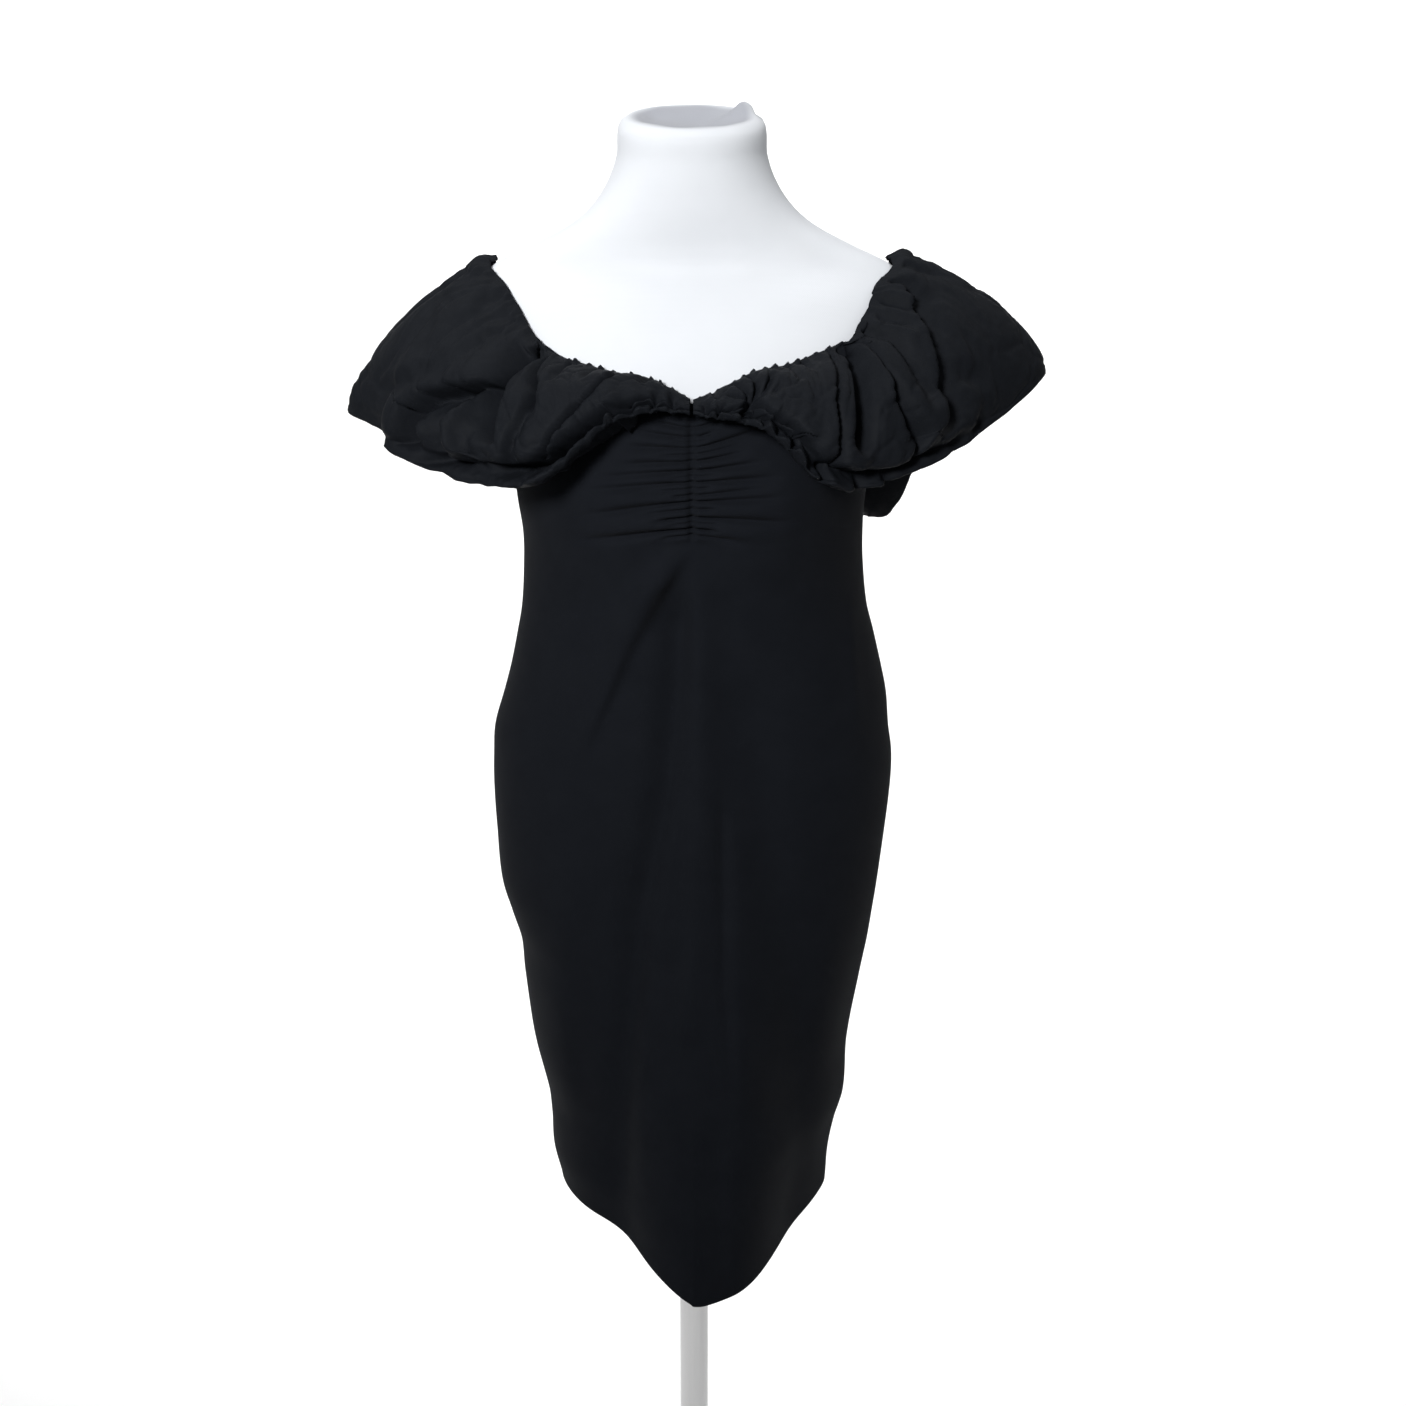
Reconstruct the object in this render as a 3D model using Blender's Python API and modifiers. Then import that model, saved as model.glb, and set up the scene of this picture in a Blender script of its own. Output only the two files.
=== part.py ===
"""Off-the-shoulder party dress on a limbless dress form.

A black stretch jersey dress with a ruched centre front, and a puffed ruffle of crisp woven cloth round its neckline.
It is worn by a white covered dress form on a pole and a round base. Metres, +Z up, front towards -Y.
The origin is on the floor, under the middle of the pole.
"""

import math

import bmesh
import bpy
from mathutils import Vector

JERSEY_WALL = 0.0012
RUFFLE_WALL = 0.0010
SEAM_GAP = 0.0003
NECK_SEAM_EASE = 0.0001

# The dress form: its outside at each height, below the neck's sloping top.
FORM_COLUMNS = ("height", "half_width", "front", "back", "slope")
FORM_SECTIONS = (
    (0.790, 0.1500, 0.0840, 0.1040, 0.00),
    (0.800, 0.1570, 0.0900, 0.1100, 0.00),
    (0.845, 0.1700, 0.0970, 0.1225, 0.00),
    (0.885, 0.1762, 0.1010, 0.1272, 0.00),
    (0.915, 0.1762, 0.1020, 0.1260, 0.00),
    (0.950, 0.1700, 0.1040, 0.1190, 0.00),
    (0.990, 0.1570, 0.1030, 0.1050, 0.00),
    (1.030, 0.1500, 0.1020, 0.0950, 0.00),
    (1.065, 0.1450, 0.1040, 0.0915, 0.00),
    (1.095, 0.1435, 0.1130, 0.0900, 0.00),
    (1.120, 0.1440, 0.1230, 0.0905, 0.00),
    (1.150, 0.1462, 0.1284, 0.0925, 0.00),
    (1.180, 0.1500, 0.1265, 0.0960, 0.00),
    (1.210, 0.1560, 0.1195, 0.0980, 0.00),
    (1.240, 0.1655, 0.1090, 0.0980, 0.00),
    (1.270, 0.1790, 0.0935, 0.0960, 0.00),
    (1.300, 0.1870, 0.0755, 0.0900, 0.00),
    (1.325, 0.1845, 0.0600, 0.0800, 0.00),
    (1.3455, 0.1670, 0.0450, 0.0680, 0.00),
    (1.362, 0.1330, 0.0440, 0.0610, 0.00),
    (1.377, 0.1040, 0.0470, 0.0580, 0.00),
    (1.392, 0.0850, 0.0500, 0.0565, 0.00),
    (1.412, 0.0705, 0.0520, 0.0560, 0.02),
    (1.434, 0.0622, 0.0530, 0.0560, 0.08),
    (1.452, 0.0612, 0.0545, 0.0560, 0.16),
    (1.460, 0.0590, 0.0530, 0.0540, 0.19),
    (1.4640, 0.0530, 0.0475, 0.0480, 0.19),
)
FORM_SIDES = 40
SECTION_POWER = 2.2
BUST = {"out": 0.072, "height": 1.152, "rise": 0.013, "width": 0.050, "tall": 0.052}
BREASTBONE = {"height": 1.175, "sink": 0.0075, "width": 0.036, "tall": 0.070}

# The stand under the form.
POLE_RADIUS = 0.014
BASE_RADIUS = 0.180
BASE_THICK = 0.010
BASE_EDGE = 0.003
HUB_RADIUS = 0.024
HUB_TOP = 0.055

# The dress: its outside at each height, left being -X. "point" is the power of the front half's section: 2 makes
# an ellipse, and less brings it to a point.
DRESS_COLUMNS = ("height", "left", "right", "front", "back", "point")
DRESS_SECTIONS = (
    (0.430, 0.1260, 0.1240, 0.1690, 0.1130, 1.42),
    (0.480, 0.1290, 0.1270, 0.1650, 0.1140, 1.46),
    (0.515, 0.1362, 0.1290, 0.1620, 0.1150, 1.52),
    (0.550, 0.1374, 0.1352, 0.1590, 0.1160, 1.58),
    (0.580, 0.1395, 0.1430, 0.1560, 0.1170, 1.64),
    (0.640, 0.1517, 0.1460, 0.1500, 0.1190, 1.78),
    (0.705, 0.1586, 0.1558, 0.1440, 0.1215, 1.94),
    (0.740, 0.1608, 0.1620, 0.1410, 0.1235, 2.03),
    (0.770, 0.1690, 0.1660, 0.1385, 0.1250, 2.10),
    (0.800, 0.1766, 0.1697, 0.1360, 0.1270, 2.15),
    (0.850, 0.1797, 0.1755, 0.1325, 0.1292, 2.20),
    (0.890, 0.1806, 0.1788, 0.1300, 0.1302, 2.20),
    (0.920, 0.1797, 0.1788, 0.1285, 0.1285, 2.20),
    (0.945, 0.1778, 0.1750, 0.1275, 0.1265, 2.20),
    (0.975, 0.1690, 0.1720, 0.1262, 0.1200, 2.20),
    (1.000, 0.1618, 0.1670, 0.1255, 0.1120, 2.20),
    (1.030, 0.1552, 0.1600, 0.1250, 0.1030, 2.20),
    (1.057, 0.1502, 0.1530, 0.1250, 0.0980, 2.20),
    (1.097, 0.1474, 0.1486, 0.1270, 0.0950, 2.20),
    (1.123, 0.1474, 0.1478, 0.1292, 0.0952, 2.20),
    (1.150, 0.1510, 0.1488, 0.1306, 0.0965, 2.20),
    (1.180, 0.1545, 0.1530, 0.1296, 0.0990, 2.20),
    (1.210, 0.1600, 0.1595, 0.1230, 0.1012, 2.20),
    (1.240, 0.1695, 0.1695, 0.1125, 0.1014, 2.20),
    (1.270, 0.1838, 0.1838, 0.0973, 0.1008, 2.20),
    (1.300, 0.1918, 0.1918, 0.0790, 0.0945, 2.20),
    (1.325, 0.1868, 0.1868, 0.0624, 0.0822, 2.20),
    (1.3455, 0.1690, 0.1690, 0.0470, 0.0700, 2.20),
    (1.362, 0.1350, 0.1350, 0.0456, 0.0626, 2.20),
)

# Where the panels begin and end, by the angle round the body from the centre front, in degrees.
EDGE_COLUMNS = ("angle", "height")
FRONT_TOP = (
    (0.0, 1.2490),
    (6.6, 1.2600),
    (15.0, 1.2695),
    (24.0, 1.2755),
    (32.0, 1.2825),
    (39.0, 1.2930),
    (45.0, 1.2870),
    (55.0, 1.2560),
    (68.0, 1.2180),
    (80.0, 1.1990),
    (90.0, 1.1950),
)
BACK_TOP = (
    (90.0, 1.1950),
    (103.0, 1.2080),
    (118.0, 1.2540),
    (130.0, 1.2940),
    (143.2, 1.3060),
    (160.4, 1.2850),
    (172.3, 1.2770),
    (180.0, 1.2750),
)
HEM_COLUMNS = ("angle", "left", "right")
HEM = (
    (0.0, 0.4430, 0.4430),
    (10.0, 0.4490, 0.4430),
    (25.0, 0.4620, 0.4490),
    (42.0, 0.4740, 0.4590),
    (65.0, 0.4790, 0.4710),
    (90.0, 0.4810, 0.4810),
    (135.0, 0.4860, 0.4860),
    (180.0, 0.4860, 0.4860),
)
TOP_EDGE_REACH = 0.150
HEM_EDGE_REACH = 0.160

# The gathers of the centre front seam: how far each lies below the neckline's point, and how far it runs out.
RUCHE_COLUMNS = ("drop", "left_reach", "right_reach", "depth")
RUCHE = (
    (0.0060, 0.020, 0.018, 0.0016),
    (0.0140, 0.030, 0.020, 0.0020),
    (0.0230, 0.042, 0.024, 0.0022),
    (0.0315, 0.055, 0.034, 0.0024),
    (0.0405, 0.060, 0.075, 0.0028),
    (0.0480, 0.070, 0.052, 0.0026),
    (0.0560, 0.082, 0.068, 0.0028),
    (0.0635, 0.050, 0.062, 0.0024),
    (0.0715, 0.088, 0.066, 0.0030),
    (0.0790, 0.052, 0.088, 0.0028),
    (0.0865, 0.040, 0.090, 0.0028),
    (0.0940, 0.092, 0.034, 0.0030),
    (0.1010, 0.060, 0.050, 0.0024),
)
RUCHE_FOOT = 0.010
RUCHE_SEAM = {"depth": 0.0022, "width": 0.0045}
# A gather is shallower at the seam, and reaches its full depth a little way out.
RUCHE_START = {"share": 0.45, "reach": 0.008}
# The gathers tilt up towards one side and down towards the other, most in the middle of the ruched stretch.
RUCHE_TILT = {"left": -0.10, "right": 0.04, "middle": 0.55, "spread": 0.45, "reach": 0.10}

# The long folds of the skirt: each runs from its top to the hem, and stands proud (+) or lies back (-).
FOLD_COLUMNS = ("top", "top_angle", "hem_angle", "rise", "width")
SKIRT_FOLDS = (
    (1.060, 2.0, 27.0, 0.0120, 15.0),
    (0.980, -8.0, -41.0, -0.0155, 17.0),
    (1.055, 16.0, 55.0, -0.0050, 12.0),
    (1.020, 72.0, 80.0, 0.0020, 7.0),
    (0.860, 110.0, 118.0, -0.0060, 14.0),
    (0.900, 150.0, 146.0, -0.0080, 13.0),
    (0.940, 180.0, 180.0, 0.0050, 12.0),
    (0.900, 208.0, 214.0, -0.0080, 14.0),
    (0.840, 248.0, 240.0, -0.0060, 13.0),
)
# One fold is dragged slantwise from the foot of the gathers towards the left hip; it widens and dies out on its way.
DRAG_FOLD = {"from": (-0.004, 1.142), "to": (-0.140, 0.962), "rise": 0.0045, "width": 0.016}
DRAG_WIDTHS = (0.4, 1.3)
DRAG_START = 0.20
DRAG_END = {"share": 1.15, "reach": 0.625}

# The grids of the panels.
FRONT_ANGLES = (0.0, 1.6, 4.0, 8.0, 13.0, 19.0, 25.5, 32.0, 39.0, 47.0, 56.0, 65.0, 74.0, 82.0, 90.0)
SKIRT_ROWS = 19
BACK_COLUMNS = 20
BACK_ROWS = 22

# The ruffle's stations: 0 at the centre front, 1 on the shoulder, 2 at the centre back. Its gathered upper edge lies on
# the neckline, at "neck_angle" round the body; its folded lower edge is "edge_out" to the side of the middle. "puff" is
# the height of its crown, and "band" how far its lower edge rolls out into a lip of its own, from 0 to 1.
STATION_COLUMNS = ("station", "neck_angle", "neck_z", "edge_out", "edge_y", "edge_z", "puff", "band")
LEFT_STATIONS = (
    (0.00, 0.25, 1.2480, 0.0040, -0.1330, 1.2440, 0.005, 1.0),
    (0.12, 6.90, 1.2620, 0.0290, -0.1410, 1.2500, 0.010, 1.0),
    (0.25, 15.9, 1.2680, 0.0640, -0.1510, 1.2430, 0.016, 1.0),
    (0.40, 25.5, 1.2750, 0.0930, -0.1600, 1.2200, 0.021, 1.0),
    (0.52, 34.1, 1.2820, 0.1240, -0.1580, 1.1940, 0.027, 0.9),
    (0.64, 40.1, 1.2980, 0.1600, -0.1390, 1.1860, 0.029, 0.8),
    (0.76, 47.0, 1.3190, 0.2060, -0.1060, 1.1900, 0.029, 0.5),
    (0.88, 60.0, 1.3370, 0.2560, -0.0680, 1.2060, 0.026, 0.2),
    (1.00, 90.0, 1.3490, 0.2960, -0.0040, 1.2240, 0.021, 0.0),
    (1.14, 103.0, 1.3455, 0.2900, 0.0500, 1.2150, 0.022, 0.0),
    (1.30, 125.8, 1.3310, 0.2480, 0.0980, 1.1820, 0.027, 0.2),
    (1.50, 143.2, 1.3050, 0.1880, 0.1320, 1.1350, 0.030, 0.4),
    (1.70, 160.4, 1.2840, 0.1200, 0.1540, 1.1300, 0.028, 0.4),
    (1.87, 172.3, 1.2760, 0.0520, 0.1560, 1.1400, 0.026, 0.4),
    (2.00, 179.75, 1.2740, 0.0020, 0.1540, 1.1460, 0.024, 0.4),
)
RIGHT_STATIONS = (
    (0.00, 0.25, 1.2480, 0.0050, -0.1330, 1.2440, 0.005, 0.9),
    (0.12, 6.40, 1.2570, 0.0240, -0.1410, 1.2430, 0.011, 1.0),
    (0.25, 13.9, 1.2700, 0.0500, -0.1510, 1.2400, 0.017, 1.0),
    (0.38, 22.1, 1.2745, 0.0760, -0.1610, 1.2270, 0.021, 1.0),
    (0.50, 29.9, 1.2825, 0.1040, -0.1600, 1.1960, 0.027, 0.8),
    (0.62, 38.3, 1.2920, 0.1430, -0.1360, 1.1830, 0.030, 0.6),
    (0.74, 44.9, 1.3100, 0.1950, -0.1000, 1.1970, 0.030, 0.3),
    (0.87, 56.0, 1.3350, 0.2560, -0.0500, 1.2230, 0.027, 0.1),
    (1.00, 90.0, 1.3495, 0.3030, 0.0060, 1.2560, 0.023, 0.0),
    (1.14, 103.0, 1.3455, 0.2920, 0.0560, 1.2380, 0.024, 0.0),
    (1.30, 125.8, 1.3310, 0.2420, 0.0980, 1.1750, 0.028, 0.2),
    (1.50, 143.2, 1.3050, 0.1760, 0.1180, 1.1080, 0.030, 0.4),
    (1.70, 160.4, 1.2840, 0.1180, 0.1500, 1.1220, 0.028, 0.4),
    (1.87, 172.3, 1.2760, 0.0520, 0.1560, 1.1400, 0.026, 0.4),
    (2.00, 179.75, 1.2740, 0.0020, 0.1540, 1.1460, 0.024, 0.4),
)
# The ruffle's section: out from the neckline, over its crown, round the folded edge and back underneath. The second
# pair of columns is its shape where the edge rolls out below a deep crease.
PUFF_COLUMNS = ("step", "along", "out", "band_along", "band_out")
PUFF_SECTION = (
    (0.0, 0.00, 0.00, 0.00, 0.00),
    (1.0, 0.07, 0.30, 0.09, 0.34),
    (2.0, 0.22, 0.72, 0.25, 0.80),
    (3.0, 0.42, 1.00, 0.44, 1.02),
    (4.0, 0.62, 0.98, 0.62, 0.90),
    (5.0, 0.80, 0.72, 0.76, 0.50),
    (6.0, 0.93, 0.36, 0.80, 0.06),
    (7.0, 1.00, -0.08, 0.96, 0.28),
    (8.0, 0.97, -0.44, 1.00, -0.22),
    (9.0, 0.87, -0.66, 0.90, -0.54),
    (10.0, 0.72, -0.74, 0.74, -0.64),
)
CROWN_STEP = 7.0
# The ruffle's folds: each a furrow between two places on the ruffle, given by station and step. "near" and "far" are
# the widths of its flanks, in steps, towards and away from the centre front.
FOLD_LINE_COLUMNS = ("from_station", "from_step", "to_station", "to_step", "depth", "near", "far")
STEPS_PER_STATION = 20.0
FOLD_END = 0.6
LEFT_FOLDS = (
    (0.600, 0.2, 0.645, 2.4, 0.0110, 0.60, 0.40),
    (0.645, 2.4, 0.850, 5.6, 0.0130, 0.90, 0.45),
    (0.640, 2.8, 0.615, 4.6, 0.0090, 0.50, 0.50),
    (0.705, 3.8, 0.735, 5.4, 0.0080, 0.50, 0.50),
    (0.240, 3.2, 0.500, 5.8, 0.0080, 0.90, 0.45),
    (0.120, -0.5, 0.170, 3.0, 0.0035, 0.45, 0.45),
    (0.300, -0.5, 0.330, 2.2, 0.0040, 0.45, 0.45),
    (0.420, -0.5, 0.460, 2.6, 0.0050, 0.50, 0.50),
    (0.740, -0.5, 0.820, 1.8, 0.0040, 0.55, 0.55),
    (0.860, -0.5, 0.950, 2.4, 0.0045, 0.60, 0.60),
    (1.070, -0.5, 1.060, 6.5, 0.0060, 0.80, 0.80),
    (1.210, -0.5, 1.180, 6.5, 0.0090, 0.90, 0.70),
    (1.345, -0.5, 1.320, 6.5, 0.0110, 0.80, 0.90),
    (1.475, -0.5, 1.465, 6.5, 0.0090, 0.90, 0.80),
    (1.600, -0.5, 1.610, 6.5, 0.0110, 0.80, 0.80),
    (1.735, -0.5, 1.750, 6.5, 0.0095, 0.90, 0.75),
    (1.860, -0.5, 1.870, 6.5, 0.0085, 0.80, 0.80),
)
RIGHT_FOLDS = (
    (0.870, 0.4, 0.770, 2.4, 0.0110, 0.70, 0.65),
    (0.770, 2.4, 0.735, 4.8, 0.0130, 0.75, 0.65),
    (0.680, 0.2, 0.672, 2.8, 0.0085, 0.60, 0.45),
    (0.672, 2.8, 0.695, 5.6, 0.0090, 0.60, 0.45),
    (0.635, 1.8, 0.590, 4.6, 0.0080, 0.55, 0.50),
    (0.530, 0.2, 0.470, 3.4, 0.0095, 0.45, 0.55),
    (0.470, 3.4, 0.510, 5.8, 0.0100, 0.45, 0.55),
    (0.120, 0.4, 0.190, 4.8, 0.0050, 0.50, 0.50),
    (0.210, -0.5, 0.280, 5.4, 0.0050, 0.50, 0.50),
    (0.330, -0.5, 0.370, 2.6, 0.0045, 0.50, 0.50),
    (0.920, -0.5, 0.960, 2.2, 0.0040, 0.60, 0.60),
    (1.080, -0.5, 1.070, 6.5, 0.0065, 0.80, 0.80),
    (1.220, -0.5, 1.200, 6.5, 0.0090, 0.80, 0.80),
    (1.360, -0.5, 1.340, 6.5, 0.0085, 0.90, 0.80),
    (1.490, -0.5, 1.490, 6.5, 0.0095, 0.80, 0.90),
    (1.620, -0.5, 1.635, 6.5, 0.0110, 0.80, 0.80),
    (1.750, -0.5, 1.765, 6.5, 0.0090, 0.80, 0.80),
    (1.870, -0.5, 1.880, 6.5, 0.0080, 0.80, 0.80),
)
# Small gathers run down from the neckline between the folds. A fold also draws the lower edge in, and is shallower
# where the cloth turns under.
RUFFLE_COLUMNS = 70
GATHER_RISE = 0.0011
GATHER_REACH = 2.2
EDGE_TUCK = 0.9
OUTWARD_LIFT = 0.5
# The waves of the ruffle's lower edge: two unlike ones, so that no two lobes come out alike.
WAVE_COLUMNS = ("per_station", "shift", "rise")
EDGE_WAVES = ((8.0, 0.30, 0.0034), (12.6, 0.75, 0.0022))
WAVE_REACH = 2.4
WAVE_END = 0.12
FOLD_RISE = 2.0
UNDER_TUCK = {"share": 0.30, "before": 1.0, "reach": 2.5}
BODY_CLEARANCE = 0.0013

JERSEY_BLACK = (0.011, 0.012, 0.015, 1.0)
WOVEN_BLACK = (0.014, 0.016, 0.020, 1.0)
COVER_WHITE = (0.86, 0.87, 0.89, 1.0)
STAND_WHITE = (0.80, 0.80, 0.80, 1.0)
POLE_SIDES = 28
BASE_SIDES = 48
SHARP_EDGE = math.radians(40.0)


def lerp(start, end, share):
    return start + (end - start) * share


def smooth(share):
    share = min(max(share, 0.0), 1.0)
    return share * share * (3.0 - 2.0 * share)


def bell(offset, width):
    return math.exp(-((offset / width) ** 2))


def signed_power(value, power):
    return math.copysign(abs(value) ** power, value)


def reader(columns, table):
    """A function that reads any named column of a table, on a smooth curve through its rows."""
    places = [row[0] for row in table]

    def read(key, at):
        index = columns.index(key)
        at = min(max(at, places[0]), places[-1])
        row = max(i for i in range(len(table) - 1) if places[i] <= at or i == 0)

        def slope(i):
            before, after = max(i - 1, 0), min(i + 1, len(table) - 1)
            return (table[after][index] - table[before][index]) / (places[after] - places[before])

        span = places[row + 1] - places[row]
        t = (at - places[row]) / span
        start, end = table[row][index], table[row + 1][index]
        curve = (2 * t**3 - 3 * t**2 + 1) * start + (3 * t**2 - 2 * t**3) * end
        return curve + span * ((t**3 - 2 * t**2 + t) * slope(row) + (t**3 - t**2) * slope(row + 1))

    return read


form_at = reader(FORM_COLUMNS, FORM_SECTIONS)
dress_at = reader(DRESS_COLUMNS, DRESS_SECTIONS)
front_top_at = reader(EDGE_COLUMNS, FRONT_TOP)
back_top_at = reader(EDGE_COLUMNS, BACK_TOP)
hem_at = reader(HEM_COLUMNS, HEM)
puff_at = reader(PUFF_COLUMNS, PUFF_SECTION)


def bust_rise(x, height):
    """How far the two rounds of the bust stand out at this place."""
    across = bell(x - BUST["out"], BUST["width"]) + bell(x + BUST["out"], BUST["width"])
    return BUST["rise"] * across * bell(height - BUST["height"], BUST["tall"])


def section_point(angle, sides, front, back, power):
    """A point on an egg-shaped section; the angle runs from the centre front towards +X."""
    turn = math.radians(angle)
    across, ahead = math.sin(turn), math.cos(turn)
    half = sides[1] if across >= 0 else sides[0]
    depth, curve = (front, power) if ahead >= 0 else (back, SECTION_POWER)
    x = half * signed_power(across, 2.0 / curve)
    return x, -depth * signed_power(ahead, 2.0 / curve)


def form_point(angle, height):
    """A point on the outside of the dress form; the ring tilts where the neck's top slopes."""
    half = form_at("half_width", height)
    x, y = section_point(angle, (half, half), form_at("front", height), form_at("back", height), SECTION_POWER)
    if y < 0.0:
        y -= bust_rise(x, height) * max(math.cos(math.radians(angle)), 0.0) ** 0.5
        hollow = bell(x, BREASTBONE["width"]) * bell(height - BREASTBONE["height"], BREASTBONE["tall"])
        y += BREASTBONE["sink"] * hollow
    return Vector((x, y, height + form_at("slope", height) * y))


def skirt_fold(angle, height, hem):
    """The rise of the long folds at this place."""
    total = 0.0
    for row in SKIRT_FOLDS:
        fold = dict(zip(FOLD_COLUMNS, row))
        share = smooth((fold["top"] - height) / (fold["top"] - hem))
        centre = lerp(fold["top_angle"], fold["hem_angle"], share)
        away = (angle - centre + 180.0) % 360.0 - 180.0
        total += fold["rise"] * share * bell(away, fold["width"])
    return total


def drag_fold(x, height):
    """The soft fold that the ruching drags from its foot towards the left hip."""
    start, end = Vector(DRAG_FOLD["from"]), Vector(DRAG_FOLD["to"])
    along = (end - start).normalized()
    place = Vector((x, height)) - start
    share = place.dot(along) / (end - start).length
    aside = place.dot(Vector((-along.y, along.x)))
    width = DRAG_FOLD["width"] * lerp(*DRAG_WIDTHS, min(max(share, 0.0), 1.0))
    ends = smooth(share / DRAG_START) * smooth((DRAG_END["share"] - share) / DRAG_END["reach"])
    return DRAG_FOLD["rise"] * ends * bell(aside, width)


def dress_point(angle, height, outwards=0.0):
    """A point on the middle of the dress's wall, moved outwards by a distance."""
    inset = outwards - JERSEY_WALL / 2
    sides = (dress_at("left", height) + inset, dress_at("right", height) + inset)
    power = dress_at("point", height)
    x, y = section_point(angle, sides, dress_at("front", height) + inset, dress_at("back", height) + inset, power)
    ahead = max(math.cos(math.radians(angle)), 0.0)
    y -= (bust_rise(x, height) + drag_fold(x, height)) * ahead**0.5
    return Vector((x, y, height))


def folded_dress_point(angle, height, hem):
    """A point on the middle of the dress's wall, with the skirt's long folds."""
    place = dress_point(angle, height)
    out = Vector((place.x, place.y, 0.0)).normalized()
    return place + out * skirt_fold(angle, height, hem)


def seated(place, gap):
    """The same point, moved out where needed so that it stays this far off the dress and the form."""
    height = min(max(place.z, DRESS_SECTIONS[0][0]), DRESS_SECTIONS[-1][0])
    half = dress_at("right" if place.x >= 0 else "left", height) + gap
    depth = dress_at("front" if place.y < 0 else "back", height) + gap
    if place.y < 0:
        depth += bust_rise(place.x, height)
    curve = dress_at("point", height) if place.y < 0 else SECTION_POWER
    fill = (abs(place.x) / half) ** curve + (abs(place.y) / depth) ** curve
    if fill >= 1.0 or fill <= 0.0:
        return place
    grow = fill ** (-1.0 / curve)
    return Vector((place.x * grow, place.y * grow, place.z))


def material(name, colour, roughness):
    """A plain material of one colour, which isn't metal."""
    made = bpy.data.materials.new(name)
    made.use_nodes = True
    shader = made.node_tree.nodes["Principled BSDF"]
    shader.inputs["Base Color"].default_value = colour
    shader.inputs["Roughness"].default_value = roughness
    shader.inputs["Metallic"].default_value = 0.0
    made.diffuse_color = colour
    return made


def add_object(name, mesh, finish, collection):
    made = bpy.data.objects.new(name, mesh)
    made.data.materials.append(finish)
    collection.objects.link(made)
    return made


def cloth(name, columns, rows, place, wall, finish, collection):
    """A sheet of cloth: a grid laid out by place(column, row), with its wall's thickness half to each side."""
    sheet = bmesh.new()
    across, down = len(columns) - 1, len(rows) - 1
    bmesh.ops.create_grid(sheet, x_segments=across, y_segments=down, size=0.5)
    for corner in sheet.verts:
        column = columns[round((corner.co.x + 0.5) * across)]
        row = rows[round((0.5 - corner.co.y) * down)]
        corner.co = place(column, row)
    mesh = bpy.data.meshes.new(name)
    sheet.to_mesh(mesh)
    sheet.free()
    mesh.shade_smooth()
    made = add_object(name, mesh, finish, collection)
    thickness = made.modifiers.new("Wall", "SOLIDIFY")
    thickness.thickness = wall
    thickness.offset = 0.0
    return made


def panel_height(drop, top, hem, top_middle, hem_middle, length):
    """The height of a grid row: level at the middle, bent towards the panel's own edges at its ends."""
    level = top_middle - drop
    level += (top - top_middle) * (1.0 - smooth(drop / TOP_EDGE_REACH))
    return level + (hem - hem_middle) * (1.0 - smooth((length - drop) / HEM_EDGE_REACH))


def dress_front(finish, collection):
    """The front panel: one piece, gathered down the middle of the bodice, with rows along its gathers."""
    top_middle, hem_middle = front_top_at("height", 0.0), hem_at("left", 0.0)
    length = top_middle - hem_middle
    gathers = [dict(zip(RUCHE_COLUMNS, row)) for row in RUCHE]
    rows = [(0.0, None)]
    for here, following in zip(gathers, gathers[1:] + [None]):
        rows.append((here["drop"], here))
        foot = following["drop"] if following else here["drop"] + RUCHE_FOOT
        rows.append(((here["drop"] + foot) / 2, None))
    ruche_foot = rows[-1][0]
    rows += [(lerp(ruche_foot, length, (i + 1) / SKIRT_ROWS), None) for i in range(SKIRT_ROWS)]
    columns = [-a for a in reversed(FRONT_ANGLES[1:])] + list(FRONT_ANGLES)

    def place(angle, row):
        drop, gather = row
        side = "left" if angle < 0 else "right"
        top, hem = front_top_at("height", abs(angle)), hem_at(side, abs(angle))
        height = panel_height(drop, top, hem, top_middle, hem_middle, length)
        spot = dress_point(angle, height)
        ruched = bell(drop / ruche_foot - RUCHE_TILT["middle"], RUCHE_TILT["spread"])
        height += RUCHE_TILT[side] * abs(spot.x) * bell(spot.x, RUCHE_TILT["reach"]) * ruched
        spot = folded_dress_point(angle, height, hem)
        if drop <= ruche_foot:
            spot.y += RUCHE_SEAM["depth"] * bell(spot.x, RUCHE_SEAM["width"])
        if gather:
            reach = gather[side + "_reach"]
            near = lerp(RUCHE_START["share"], 1.0, smooth(abs(spot.x) / RUCHE_START["reach"]))
            spot.y += gather["depth"] * near * smooth(1.0 - abs(spot.x) / reach)
        spot.y = min(spot.y, -SEAM_GAP / 2)
        return spot

    return cloth("dress_front", columns, rows, place, JERSEY_WALL, finish, collection)


def dress_back(finish, collection):
    """The back panel: one piece from side seam to side seam."""
    top_middle, hem_middle = back_top_at("height", 180.0), hem_at("left", 180.0)
    length = top_middle - hem_middle
    columns = [lerp(90.0, 270.0, i / BACK_COLUMNS) for i in range(BACK_COLUMNS + 1)]
    rows = [length * (i / BACK_ROWS) for i in range(BACK_ROWS + 1)]

    def place(angle, drop):
        folded = min(angle, 360.0 - angle)
        top, hem = back_top_at("height", folded), hem_at("left", folded)
        height = panel_height(drop, top, hem, top_middle, hem_middle, length)
        spot = folded_dress_point(angle, height, hem)
        spot.y = max(spot.y, SEAM_GAP / 2)
        return spot

    return cloth("dress_back", columns, rows, place, JERSEY_WALL, finish, collection)


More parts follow.
